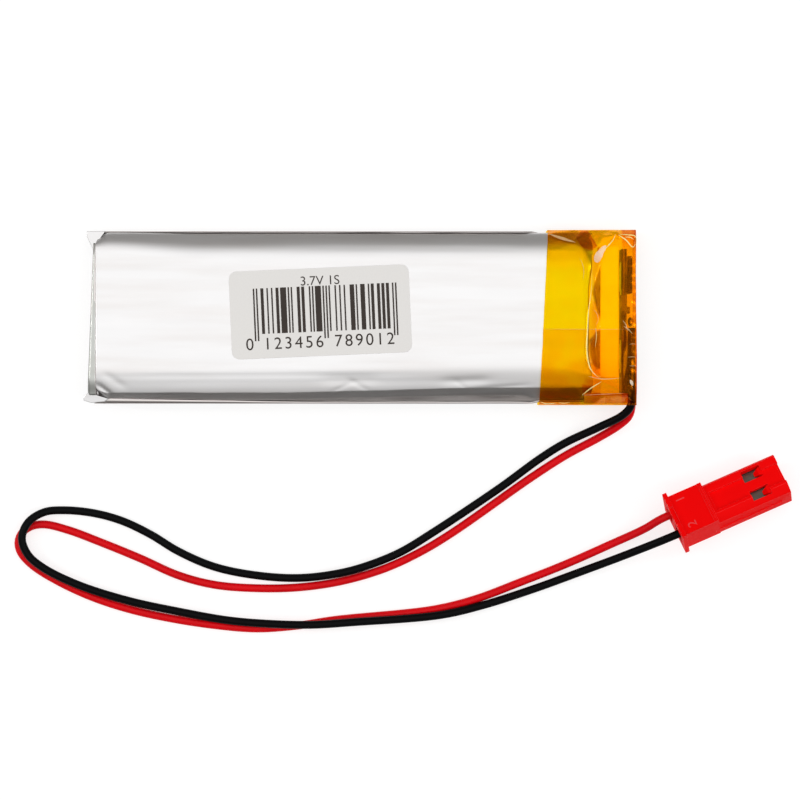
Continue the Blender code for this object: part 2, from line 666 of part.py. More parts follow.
def connector_housing():
    """Flange, collar and nose in one moulding, with two through ways and their windows."""
    flange_length, flange_width, flange_height = PLUG_FLANGE
    collar_length, collar_width, collar_height = PLUG_COLLAR
    collar_end = flange_length + collar_length
    half = PLUG_NOSE_WIDTH / 2
    bottom = -collar_height / 2
    nose = box_shape((collar_end - 1.0, -half, bottom), (PLUG_LENGTH, half, PLUG_NOSE_TOP))
    top = [e for e in nose.edges if min(v.co.z for v in e.verts) > 0 and e.calc_length() > half * 2.5]
    bmesh.ops.bevel(nose, geom=top, offset=PLUG_CHAMFER, segments=1, affect="EDGES")
    housing = mesh_object("connector_housing", nose, RED_NYLON)
    collar_low = (flange_length / 2, -collar_width / 2, bottom)
    collar = block("plug_collar", collar_low, (collar_end, collar_width / 2, collar_height / 2))
    flange_low = (0.0, -flange_width / 2, -flange_height / 2)
    flange = block("plug_flange", flange_low, (flange_length, flange_width / 2, flange_height / 2))
    combine(housing, collar, "UNION")
    combine(housing, flange, "UNION")
    channel_low = (collar_end + 0.35, -CHANNEL_WIDTH / 2, PLUG_NOSE_TOP - CHANNEL_DEPTH)
    channel = block("plug_channel", channel_low, (PLUG_LENGTH + 1, CHANNEL_WIDTH / 2, 3.0))
    combine(housing, channel, "DIFFERENCE")
    helpers = [collar, flange, channel]
    for name, middle in way_centres():
        width, height = WAY_SIZE
        low = (-1.0, middle - width / 2, WAY_HEIGHT - height / 2)
        way = block(f"{name}_way", low, (PLUG_LENGTH + 1, middle + width / 2, WAY_HEIGHT + height / 2))
        window_low = (WINDOW_X[0], middle - WINDOW_WIDTH / 2, WAY_HEIGHT)
        window = block(f"{name}_window", window_low, (WINDOW_X[1], middle + WINDOW_WIDTH / 2, 3.0))
        combine(housing, way, "DIFFERENCE")
        combine(housing, window, "DIFFERENCE")
        helpers += [way, window]
    place = plug_matrix()
    for obj in [housing, *helpers]:
        obj.matrix_world = place
    return housing


def tube_shape(radius, start, end, middle):
    """A round bar along the connector's X axis, in the way with this middle."""
    shape = bmesh.new()
    centre = Matrix.Translation(((start + end) / 2, middle, WAY_HEIGHT))
    along = centre @ Matrix.Rotation(math.pi / 2, 4, "Y")
    length = end - start
    bmesh.ops.create_cone(
        shape, cap_ends=True, segments=12, radius1=radius, radius2=radius, depth=length, matrix=along
    )
    return shape


def contact(name, middle):
    """Crimp barrel round the lead's end, a neck, and the sprung box that takes the pin."""
    obj = mesh_object(f"{name}_contact", tube_shape(BARREL_RADIUS, *BARREL_X, middle), NICKEL)
    bore = mesh_object(f"{name}_barrel_bore", tube_shape(BARREL_BORE, BARREL_X[0] - 0.4, BORE_END, middle))
    neck_low = (NECK_X[0], middle - NECK_HALF, WAY_HEIGHT + NECK_Z[0])
    neck_high = (NECK_X[1], middle + NECK_HALF, WAY_HEIGHT + NECK_Z[1])
    half_y, half_z = CONTACT_BOX_HALF
    box_low = (CONTACT_BOX_X[0], middle - half_y, WAY_HEIGHT - half_z)
    box_high = (CONTACT_BOX_X[1], middle + half_y, WAY_HEIGHT + half_z)
    slot_low = (CONTACT_BOX_X[0] - 1.0, middle - half_y + CONTACT_WALL, WAY_HEIGHT - half_z + CONTACT_WALL)
    slot_high = (CONTACT_BOX_X[1] + 1.0, middle + half_y - CONTACT_WALL, WAY_HEIGHT + half_z - CONTACT_WALL)
    neck = block(f"{name}_neck", neck_low, neck_high)
    box = block(f"{name}_box", box_low, box_high)
    slot = block(f"{name}_box_slot", slot_low, slot_high)
    combine(obj, box, "UNION")
    combine(obj, slot, "DIFFERENCE")
    combine(obj, neck, "UNION")
    combine(obj, bore, "DIFFERENCE")
    place = plug_matrix()
    for piece in (obj, bore, neck, box, slot):
        piece.matrix_world = place
    return obj


pouch_cup()
pouch_back_sheet()
wound_layers()
roll_tape()
tabs()
board()
board_parts()
solder_joint("negative_solder_joint", NEGATIVE_PAD)
solder_joint("positive_solder_joint", POSITIVE_PAD)
polyimide_tape()
barcode_label()
lead("black_lead", BLACK_ROUTE, BLACK_PVC)
lead("red_lead", RED_ROUTE, RED_PVC)
connector_housing()
for way_name, way_middle in way_centres():
    contact(way_name, way_middle)
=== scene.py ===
"""Looks of the single-cell pouch battery pack: skins, tape, label, board, leads, connector and stage.

Positions are in millimetres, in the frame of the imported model, and MM makes them metres.
"""

import math

import bmesh
import bpy
import numpy as np
from mathutils import Matrix, Vector, noise
from mathutils.bvhtree import BVHTree
from mathutils.geometry import delaunay_2d_cdt


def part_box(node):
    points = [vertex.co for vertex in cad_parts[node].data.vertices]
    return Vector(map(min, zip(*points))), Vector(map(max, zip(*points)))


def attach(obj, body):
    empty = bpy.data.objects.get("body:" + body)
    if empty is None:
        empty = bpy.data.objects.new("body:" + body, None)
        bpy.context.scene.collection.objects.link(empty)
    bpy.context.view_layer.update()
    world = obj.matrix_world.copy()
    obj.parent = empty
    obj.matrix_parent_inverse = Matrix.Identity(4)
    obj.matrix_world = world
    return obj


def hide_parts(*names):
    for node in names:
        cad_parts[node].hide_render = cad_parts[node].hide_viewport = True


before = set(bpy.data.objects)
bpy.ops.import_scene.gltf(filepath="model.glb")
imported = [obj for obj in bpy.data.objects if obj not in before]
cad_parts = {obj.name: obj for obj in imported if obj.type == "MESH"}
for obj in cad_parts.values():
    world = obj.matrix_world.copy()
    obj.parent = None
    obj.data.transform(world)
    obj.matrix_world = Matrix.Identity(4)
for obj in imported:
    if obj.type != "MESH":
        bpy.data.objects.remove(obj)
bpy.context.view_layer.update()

MM = 0.001
BODY = "root"

# Camera straight above the pack
CAMERA_PLACE = (4.365, -9.53, 400.0)
CAMERA_LENS = 154.0

LEAD_DIAMETER = 0.95
LEAD_SAMPLES = 420

# Route points of each lead's centre line, from its solder joint to its contact
BLACK_ROUTE = (
    (31.08, -1.2, 4.6), (31.08, -6.0, 4.6), (31.1, -8.6, 4.3), (31.1, -10.2, 3.7),
    (30.2, -11.3, 3.0), (27.5, -12.7, 1.7), (23.7, -14.5, 0.8), (20.8, -16.3, 0.52),
    (16.0, -19.8, 0.52), (8.2, -25.0, 0.52), (4.4, -27.3, 0.52), (0.7, -28.8, 0.95),
    (-2.6, -29.7, 1.1), (-7.3, -30.3, 0.52), (-12.4, -30.0, 0.52), (-17.3, -29.0, 0.52),
    (-21.5, -27.2, 0.52), (-24.8, -25.2, 0.52), (-28.2, -23.6, 0.52), (-31.6, -22.7, 0.52),
    (-34.9, -22.4, 0.6), (-37.1, -22.6, 1.05), (-38.9, -23.75, 1.65), (-39.65, -25.6, 1.65),
    (-39.0, -27.5, 1.45), (-37.3, -29.0, 1.45), (-33.3, -31.0, 1.3), (-27.4, -32.9, 1.1),
    (-21.4, -34.2, 1.05), (-15.7, -35.2, 1.2), (-10.8, -35.6, 1.45), (-5.9, -35.7, 1.55),
    (-1.0, -35.4, 1.45), (9.0, -34.6, 1.2), (13.9, -33.5, 0.85), (19.9, -31.6, 0.6),
    (25.6, -29.5, 0.9), (30.5, -27.6, 1.9), (35.5, -25.47, 3.94), (39.0, -23.95, 3.81),
)
RED_ROUTE = (
    (31.08, -7.3, 2.2), (31.15, -8.8, 2.25), (31.3, -10.1, 2.15), (31.0, -11.4, 1.8),
    (29.85, -12.5, 1.25), (27.6, -13.9, 0.6), (23.7, -16.0, 0.52), (19.8, -18.5, 0.52),
    (10.2, -25.2, 0.52), (6.3, -27.5, 0.52), (2.3, -29.3, 0.52), (-2.6, -30.7, 0.52),
    (-7.5, -31.4, 0.52), (-12.4, -31.5, 0.52), (-17.3, -31.1, 0.52), (-21.5, -30.0, 0.52),
    (-26.0, -28.0, 0.52), (-30.4, -26.2, 0.52), (-34.4, -24.7, 0.52), (-37.2, -24.05, 0.52),
    (-38.75, -24.3, 0.52), (-39.8, -25.1, 0.52), (-40.18, -26.2, 0.52), (-39.85, -27.4, 0.52),
    (-38.5, -28.85, 0.52), (-35.9, -30.5, 0.52), (-31.9, -32.4, 0.52), (-27.4, -33.9, 0.52),
    (-22.5, -35.0, 0.52), (-17.3, -35.8, 0.52), (-12.4, -36.2, 0.52), (-7.9, -35.9, 0.52),
    (-3.2, -35.2, 0.52), (8.2, -34.0, 0.52), (13.1, -32.8, 0.52), (18.4, -30.8, 0.52),
    (23.7, -28.7, 0.52), (28.8, -26.4, 1.2), (32.8, -24.5, 2.2), (34.6, -23.38, 2.88),
    (38.0, -21.9, 2.75),
)


# -------- materials

def set_stops(ramp_node, stops):
    """Colours or grey levels at places from 0 to 1 along a ramp."""
    elements = ramp_node.color_ramp.elements
    while len(elements) < len(stops):
        elements.new(0.5)
    for element, (position, colour) in zip(elements, stops):
        element.position = position
        full = colour if isinstance(colour, tuple) else (colour,) * 3
        element.color = (*full, 1.0)


class Look:
    """A material and short ways to add nodes to it."""

    def __init__(self, name, **values):
        self.material = bpy.data.materials.new(name)
        self.material.use_nodes = True
        self.nodes = self.material.node_tree.nodes
        self.links = self.material.node_tree.links
        self.shader = self.nodes["Principled BSDF"]
        self.output = self.nodes["Material Output"]
        for key, value in values.items():
            socket = self.shader.inputs[key.replace("_", " ").title().replace("Ior", "IOR")]
            socket.default_value = (*value, 1.0) if isinstance(value, tuple) else value

    def node(self, kind, **values):
        made = self.nodes.new(kind)
        for key, value in values.items():
            setattr(made, key, value)
        return made

    def noise(self, scale, stretch=(1, 1, 1), detail=4.0, roughness=0.55, distortion=0.0):
        """Noise with this many cells to a millimetre, times the stretch along each axis."""
        coordinates = self.node("ShaderNodeTexCoord")
        mapping = self.node("ShaderNodeMapping")
        mapping.inputs["Scale"].default_value = [scale / MM * s for s in stretch]
        texture = self.node("ShaderNodeTexNoise")
        texture.inputs["Scale"].default_value = 1.0
        texture.inputs["Detail"].default_value = detail
        texture.inputs["Roughness"].default_value = roughness
        texture.inputs["Distortion"].default_value = distortion
        self.links.new(coordinates.outputs["Object"], mapping.inputs["Vector"])
        self.links.new(mapping.outputs["Vector"], texture.inputs["Vector"])
        return texture.outputs["Fac"]

    def ramp(self, source, stops):
        """Colours or grey levels at places along the source's value."""
        made = self.node("ShaderNodeValToRGB")
        set_stops(made, stops)
        self.links.new(source, made.inputs["Fac"])
        return made.outputs["Color"]

    def fact(self, name):
        """A value that the mesh stores at its points."""
        return self.node("ShaderNodeAttribute", attribute_name=name).outputs["Fac"]

    def arithmetic(self, operation, source, number, added=None, clamped=False):
        """The source's value and a number put through one operation, which may take a second source."""
        made = self.node("ShaderNodeMath", operation=operation, use_clamp=clamped)
        made.inputs[1].default_value = number
        self.links.new(source, made.inputs[0])
        if added is not None:
            self.links.new(added, made.inputs[2])
        return made.outputs["Value"]

    def mix(self, share, first, second):
        """The first shader with this share of the second over it."""
        made = self.node("ShaderNodeMixShader")
        self.links.new(share, made.inputs["Fac"])
        self.links.new(first, made.inputs[1])
        self.links.new(second, made.inputs[2])
        return made.outputs["Shader"]

    def to(self, source, socket):
        self.links.new(source, self.shader.inputs[socket])

    def vary(self, socket, source, first, second, low=0.3, high=0.7):
        """Lets the shader's value go from first to second where the source goes from low to high."""
        self.to(self.ramp(source, ((low, first), (high, second))), socket)

    def bump(self, source, height, strength=1.0, below=None):
        """Relief of this height in millimetres, on top of another bump's normal."""
        made = self.node("ShaderNodeBump")
        made.inputs["Strength"].default_value = strength
        made.inputs["Distance"].default_value = height * MM
        self.links.new(source, made.inputs["Height"])
        if below is not None:
            self.links.new(below, made.inputs["Normal"])
        self.to(made.outputs["Normal"], "Normal")
        return made.outputs["Normal"]


def laminate_look(name, tone):
    """Aluminium foil under a matt nylon skin, with faint streaks along X."""
    look = Look(name, metallic=1.0, coat_weight=0.08, coat_roughness=0.35)
    broad = look.noise(0.1, (0.5, 6, 6), detail=5.0)
    dull = (tone[0] * 0.95, tone[1] * 0.935, tone[2] * 0.925)
    look.vary("Base Color", broad, dull, tone, low=0.35, high=0.6)
    streak = look.noise(0.5, (0.2, 1.6, 1.6), detail=4.0)
    look.vary("Roughness", streak, 0.3, 0.36, low=0.25, high=0.75)
    normal = look.bump(streak, 0.002, 0.3)
    look.bump(look.noise(6.0, detail=2.0), 0.001, 0.3, below=normal)
    return look.material


def metal_look(name, tone, roughness=0.28, grain=4.0):
    """Bare metal with fine grain across Y."""
    look = Look(name, metallic=1.0)
    fine = look.noise(grain, (1, 3, 1), detail=5.0)
    dull = tuple(channel * 0.78 for channel in tone)
    look.vary("Base Color", fine, dull, tone)
    look.vary("Roughness", fine, roughness + 0.14, roughness)
    look.bump(fine, 0.01, 0.4)
    return look.material


def plastic_look(name, tone, roughness, grain=3.0, relief=0.006, shade=0.85, specular=0.5):
    """Plastic or another even material; shade is how deep its broad darker patches are."""
    look = Look(name, specular_ior_level=specular)
    fine = look.noise(grain, detail=3.0)
    broad = look.noise(0.25, detail=2.0)
    deep = tuple(channel * shade for channel in tone)
    look.vary("Base Color", broad, deep, tone)
    look.vary("Roughness", fine, roughness - 0.05, roughness + 0.08)
    look.bump(fine, relief, 0.4)
    return look.material


# Colour that light keeps at each skin of the film, against how much film lies there, with painted shade
# counted as more film
FILM_TINTS = (
    (0.0, (1.0, 0.93, 0.12)), (0.2, (1.0, 0.87, 0.09)), (0.4, (0.99, 0.76, 0.06)),
    (0.6, (0.94, 0.6, 0.04)), (0.8, (0.84, 0.42, 0.03)), (1.0, (0.66, 0.25, 0.02)),
)
# How far cloudy noise moves the amount of film, from its lowest to its highest
FILM_CLOUDS = 0.2
# The film's glare starts where a skin mirrors more than the first share, and stays below the second
GLARE_START = 0.053
GLARE_CAP = 0.08


def film_look(name):
    """Amber film that tints what lies under it, deeper where the stored amount of film and painted shade is
    higher, with amber sheen, and white glare at low angles.
    """
    look = Look(name, metallic=1.0, roughness=0.2)
    cloudy = look.noise(0.45, detail=4.0)
    amount = look.arithmetic("MULTIPLY_ADD", cloudy, FILM_CLOUDS, added=look.fact("layers_and_shade"))
    colour = look.ramp(look.arithmetic("SUBTRACT", amount, FILM_CLOUDS / 2, clamped=True), FILM_TINTS)
    look.vary("Base Color", cloudy, (0.9, 0.26, 0.0), (1.0, 0.34, 0.0))
    normal = look.bump(look.noise(0.9, detail=4.0, distortion=0.8), 0.03, 0.5)
    clear = look.node("ShaderNodeBsdfTransparent")
    look.links.new(colour, clear.inputs["Color"])
    body = look.mix(look.fact("haze"), clear.outputs["BSDF"], look.shader.outputs["BSDF"])
    gloss = look.node("ShaderNodeBsdfGlossy")
    gloss.inputs["Roughness"].default_value = 0.08
    fresnel = look.node("ShaderNodeFresnel")
    fresnel.inputs["IOR"].default_value = 1.6
    for bumped in (gloss, fresnel):
        look.links.new(normal, bumped.inputs["Normal"])
    beyond = look.arithmetic("SUBTRACT", fresnel.outputs["Fac"], GLARE_START, clamped=True)
    surface = look.mix(look.arithmetic("MINIMUM", beyond, GLARE_CAP), body, gloss.outputs["BSDF"])
    look.links.new(surface, look.output.inputs["Surface"])
    return look.material


def painted_glint_look(name, tone, cover):
    """Painted highlight along a sharp fold of the film, or painted glare, which covers this share of what
    lies under it.
    """
    look = Look(name, roughness=0.3, specular_ior_level=0.4, alpha=cover)
    fine = look.noise(2.5, detail=3.0)
    dull = (tone[0], tone[1] * 0.88, tone[2] * 0.7)
    look.vary("Base Color", fine, dull, tone, low=0.35, high=0.6)
    return look.material


FIBRE_TONE = (1.0, 0.8, 0.5)


def flap_look():
    """Fibre paper in the film's hollow, dark where the folds above it shade it."""
    look = Look("fibre_flap", roughness=0.8, specular_ior_level=0.2)
    tones = ((0.0, FIBRE_TONE), (0.5, (0.5, 0.33, 0.2)), (1.0, (0.13, 0.08, 0.04)))
    look.to(look.ramp(look.fact("shade"), tones), "Base Color")
    look.bump(look.noise(6.0, detail=3.0), 0.02, 0.4)
    return look.material


def board_look():
    """Dark solder mask over glass weave."""
    look = Look("board_mask", roughness=0.4, specular_ior_level=0.5)
    weave = look.noise(1.6, detail=1.0)
    colours = ((0.42, (0.014, 0.013, 0.006)), (0.5, (0.03, 0.024, 0.01)), (0.6, (0.06, 0.044, 0.02)))
    look.to(look.ramp(weave, colours), "Base Color")
    look.bump(weave, 0.02, 0.4)
    return look.material


def paper_look():
    """White label paper with its fibres."""
    look = Look("label_paper", specular_ior_level=0.3)
    fibre = look.noise(5.0, detail=6.0, roughness=0.7)
    look.vary("Base Color", fibre, (0.78, 0.765, 0.745), (0.81, 0.795, 0.775))
    look.vary("Roughness", fibre, 0.5, 0.62)
    look.bump(fibre, 0.006, 0.3)
    return look.material


LAMINATE = laminate_look("laminate_face", (0.645, 0.639, 0.64))
FOLD_LAMINATE = laminate_look("laminate_fold", (0.6, 0.565, 0.55))
SEAL_LAMINATE = laminate_look("laminate_seal", (0.42, 0.43, 0.41))
FILM = film_look("amber_film")
# Painted highlights and painted glare, laid on the film as pale ribbons
FOLD_GLINT = painted_glint_look("fold_glint", (1.0, 0.93, 0.36), 0.85)
SOFT_GLINT = painted_glint_look("soft_glint", (0.98, 0.72, 0.36), 0.5)
GLARE = painted_glint_look("film_glare", (0.96, 0.8, 0.62), 0.7)
PAPER = paper_look()
INK = plastic_look("label_ink", (0.045, 0.034, 0.028), 0.55, relief=0.002, specular=0.2)
BLACK_TONE = (0.003, 0.003, 0.0035)
BLACK_PVC = plastic_look("black_insulation", BLACK_TONE, 0.36, grain=1.2, relief=0.01, specular=0.05)
RED_PVC = plastic_look("red_insulation", (0.74, 0.0015, 0.006), 0.32, grain=1.2, relief=0.01, specular=0.1)
# Painted highlight: a lighter, glossier red for the housing's rounded edges and raised numerals, standing
# for the light they catch
RED_EDGE_HIGHLIGHT = plastic_look("red_nylon_edge_highlight", (0.92, 0.045, 0.05), 0.35, grain=4.0, relief=0.004, specular=0.3)
RED_NYLON = plastic_look("red_nylon", (0.92, 0.0004, 0.0008), 0.5, grain=4.0, shade=0.96, specular=0.04)
# Painted shade: the contacts' tin gets a dark tone that stands for the shade inside the housing's windows
SHADED_TIN = metal_look("tinned_contact_shaded", (0.15, 0.125, 0.105), 0.35, grain=1.5)
NICKEL = metal_look("nickel_strip", (0.66, 0.63, 0.58))
ALUMINIUM = metal_look("aluminium_strip", (0.82, 0.82, 0.83))
COPPER = metal_look("copper_foil", (0.8, 0.42, 0.26))
SOLDER = metal_look("solder", (0.74, 0.74, 0.76), 0.2, grain=2.0)
CATHODE = plastic_look("coated_foil", (0.03, 0.03, 0.034), 0.75, grain=9.0)
SEPARATOR = plastic_look("separator_film", (0.82, 0.82, 0.8), 0.5)
SEAL_FILM = plastic_look("seal_film", (0.03, 0.03, 0.03), 0.45)
GREEN_TAPE = plastic_look("green_tape", (0.03, 0.3, 0.16), 0.35)
FIBRE_STRIP = plastic_look("fibre_strip", FIBRE_TONE, 0.8, grain=6.0, relief=0.02, shade=0.93)
FIBRE_FLAP = flap_look()
CHIP = plastic_look("chip_package", (0.018, 0.017, 0.016), 0.5, grain=8.0, relief=0.01)
CERAMIC = plastic_look("ceramic_part", (0.52, 0.47, 0.4), 0.45)
BOARD = board_look()

# Painted glow: the paper emits orange light, standing for light that the thin paper lets through from the
# film round it
for fibre_look, glow in ((FIBRE_STRIP, 0.26), (FIBRE_FLAP, 0.2)):
    fibre_inputs = fibre_look.node_tree.nodes["Principled BSDF"].inputs
    fibre_inputs["Emission Color"].default_value = (1.0, 0.3, 0.0, 1.0)
    fibre_inputs["Emission Strength"].default_value = glow


# -------- mesh helpers

def link_object(name, data):
    """A new object in the scene."""
    obj = bpy.data.objects.new(name, data)
    bpy.context.scene.collection.objects.link(obj)
    return obj


def add_object(name, data, looks):
    """A visible piece of the pack with one material or a list of them."""
    obj = link_object(name, data)
    for look in looks if isinstance(looks, list) else [looks]:
        obj.data.materials.append(look)
    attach(obj, BODY)
    return obj


def grid_mesh(name, rows, closed=False, wanted=None, flip=False):
    """Quads between rows of points in millimetres; closed joins each row's end to its start."""
    count = len(rows[0])
    verts = [Vector(point) * MM for row in rows for point in row]
    faces = []
    for r in range(len(rows) - 1):
        for c in range(count if closed else count - 1):
            a = r * count + c
            b = r * count + (c + 1) % count
            face = (a, a + count, b + count, b) if flip else (a, b, b + count, a + count)
            middle = sum((verts[i] for i in face), Vector()) / 4 / MM
            if wanted is None or wanted(middle):
                faces.append(face)
    mesh = bpy.data.meshes.new(name)
    mesh.from_pydata(verts, [], faces)
    mesh.update()
    mesh.shade_smooth()
    return mesh


def finished_mesh(name, shape):
    """The bmesh as a mesh of this name; the bmesh is freed."""
    mesh = bpy.data.meshes.new(name)
    shape.to_mesh(mesh)
    shape.free()
    return mesh


def join_meshes(name, meshes, matrices=None, weld=0.0):
    """One mesh out of several, each moved by its matrix, with points nearer than weld merged."""
    shape = bmesh.new()
    for number, mesh in enumerate(meshes):
        start = len(shape.verts)
        shape.from_mesh(mesh)
        shape.verts.ensure_lookup_table()
        if matrices:
            bmesh.ops.transform(shape, matrix=matrices[number], verts=shape.verts[start:])
    if weld:
        bmesh.ops.remove_doubles(shape, verts=shape.verts, dist=weld * MM)
    return finished_mesh(name, shape)


def solidify(obj, thickness):
    """Gives the skin a wall on its inner side."""
    wall = obj.modifiers.new("wall", "SOLIDIFY")
    wall.thickness = thickness * MM
    wall.offset = -1.0
    wall.use_even_offset = False


def soften(obj, width, angle=35.0):
    """Rounds the edges that turn more than this angle in degrees."""
    edge = obj.modifiers.new("edges", "BEVEL")
    edge.width = width * MM
    edge.segments = 2
    edge.limit_method = "ANGLE"
    edge.angle_limit = math.radians(angle)
    return edge


def prism_mesh(name, outline, low, high):
    """Flat outline of (x, y) points, pulled up from one height to another."""
    shape = bmesh.new()
    ring = [shape.verts.new((x * MM, y * MM, low * MM)) for x, y in outline]
    base = shape.faces.new(ring)
    pulled = bmesh.ops.extrude_face_region(shape, geom=[base])["geom"]
    lift = Vector((0, 0, (high - low) * MM))
    bmesh.ops.translate(shape, vec=lift, verts=[v for v in pulled if isinstance(v, bmesh.types.BMVert)])
    bmesh.ops.recalc_face_normals(shape, faces=shape.faces)
    return finished_mesh(name, shape)


def box_mesh(name, low, high):
    shape = bmesh.new()
    bmesh.ops.create_cube(shape, size=1.0)
    bmesh.ops.scale(shape, vec=[(b - a) * MM for a, b in zip(low, high)], verts=shape.verts)
    bmesh.ops.translate(shape, vec=[(a + b) / 2 * MM for a, b in zip(low, high)], verts=shape.verts)
    return finished_mesh(name, shape)


def rounded_outline(half_x, half_y, radius, steps=8):
    points = []
    for corner, (side_x, side_y) in enumerate(((1, 1), (-1, 1), (-1, -1), (1, -1))):
        for step in range(steps + 1):
            angle = math.radians(90 * (corner + step / steps))
            x = side_x * (half_x - radius) + radius * math.cos(angle)
            y = side_y * (half_y - radius) + radius * math.sin(angle)
            points.append((x, y))
    return points


def evaluated_mesh(obj):
    graph = bpy.context.evaluated_depsgraph_get()
    graph.update()
    return bpy.data.meshes.new_from_object(obj.evaluated_get(graph))


def carve(mesh, steps):
    """The mesh after Boolean steps, each an operation and a mesh."""
    holder = link_object("carved", mesh)
    helpers = []
    for operation, other in steps:
        helper = link_object("cutter", other)
        step = holder.modifiers.new("step", "BOOLEAN")
        step.operation = operation
        step.solver = "EXACT"
        step.object = helper
        helpers.append(helper)
    result = evaluated_mesh(holder)
    for helper in [holder, *helpers]:
        bpy.data.objects.remove(helper)
    result.materials.clear()
    return result


def text_mesh(words, size, depth):
    """Letters lying in the XY plane, centred along X, as a closed mesh."""
    curve = bpy.data.curves.new("words", "FONT")
    curve.body = words
    curve.size = size * MM
    curve.extrude = depth / 2 * MM
    curve.align_x = "CENTER"
    holder = link_object("words", curve)
    mesh = evaluated_mesh(holder)
    bpy.data.objects.remove(holder)
    mesh.materials.clear()
    return mesh


def smoothstep(low, high, value):
    share = min(max((value - low) / (high - low), 0.0), 1.0)
    return share * share * (3 - 2 * share)


def bell(distance, width):
    return math.exp(-((distance / width) ** 2))


def spread(low, high, count):
    return [low + (high - low) * i / (count - 1) for i in range(count)]


def wobble(x, y, scale, seed=0.0):
    """Smooth noise between about -1 and 1."""
    return noise.noise(Vector((x * scale + seed, y * scale - seed, 0.37 * seed)))


def place(x, y, z, turn=0.0):
    return Matrix.Translation(Vector((x, y, z)) * MM) @ Matrix.Rotation(math.radians(turn), 4, "Z")


# -------- camera

camera_data = bpy.data.cameras.new("camera")
camera_data.lens = CAMERA_LENS
camera_data.sensor_width = 36.0
camera_data.clip_start = 0.01
camera = link_object("camera", camera_data)
camera.location = Vector(CAMERA_PLACE) * MM
bpy.context.scene.camera = camera


# -------- leads

def smooth_route(points, samples):
    """Evenly spaced points on a centripetal Catmull-Rom curve through the route points."""
    route = np.array(points, float)
    steps = np.linalg.norm(np.diff(route, axis=0), axis=1) ** 0.5
    chords = np.diff(route, axis=0) / steps[:, None]
    slopes = np.empty_like(route)
    slopes[0], slopes[-1] = chords[0], chords[-1]
    back, ahead = steps[:-1, None], steps[1:, None]
    slopes[1:-1] = (chords[:-1] * ahead + chords[1:] * back) / (back + ahead)
    s = np.linspace(0, 1, 24, endpoint=False)[:, None]
    fine = []
    for i, span in enumerate(steps):
        fine.append(
            (2 * s**3 - 3 * s**2 + 1) * route[i]
            + (s**3 - 2 * s**2 + s) * span * slopes[i]
            + (3 * s**2 - 2 * s**3) * route[i + 1]
            + (s**3 - s**2) * span * slopes[i + 1]
        )
    fine = np.concatenate(fine + [route[-1:]])
    travelled = np.concatenate([[0.0], np.cumsum(np.linalg.norm(np.diff(fine, axis=0), axis=1))])
    goals = np.linspace(0, travelled[-1], samples)
    return np.stack([np.interp(goals, travelled, fine[:, axis]) for axis in range(3)], 1), travelled[-1]


def lead(name, route, look):
    """The lead as a round cord along its route, and its length in millimetres."""
    points, length = smooth_route(route, LEAD_SAMPLES)
    curve = bpy.data.curves.new(name, "CURVE")
    curve.dimensions = "3D"
    curve.bevel_depth = LEAD_DIAMETER / 2 * MM
    curve.bevel_resolution = 6
    curve.use_fill_caps = True
    spline = curve.splines.new("POLY")
    spline.points.add(len(points) - 1)
    for spline_point, point in zip(spline.points, points):
        spline_point.co = (*(point * MM), 1.0)
    spline.use_smooth = True
    return add_object(name, curve, look), length


black_wire, black_length = lead("black_wire", BLACK_ROUTE, BLACK_PVC)
red_wire, red_length = lead("red_wire", RED_ROUTE, RED_PVC)
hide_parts("black_lead")
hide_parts("red_lead")


# -------- shape of the film

# The tape's edge over the cell, at -Y and at +Y
TAPE_LEFT = (20.4, 21.4)
TAPE_HALF = 10.1
TAPE_END = 31.7
# The upper wrap's edge crosses the pack along X here
OVERLAP_EDGE = -1.4
# Opening that the leads leave by, at the tape's corner
MOUTH_X = 30.35
MOUTH_Y = -9.2
MOUTH_Z = (1.5, 4.7)
# The insulating strip and the board's side of it, along X
STRIP_EDGE = 27.5
BOARD_EDGE = 29.8

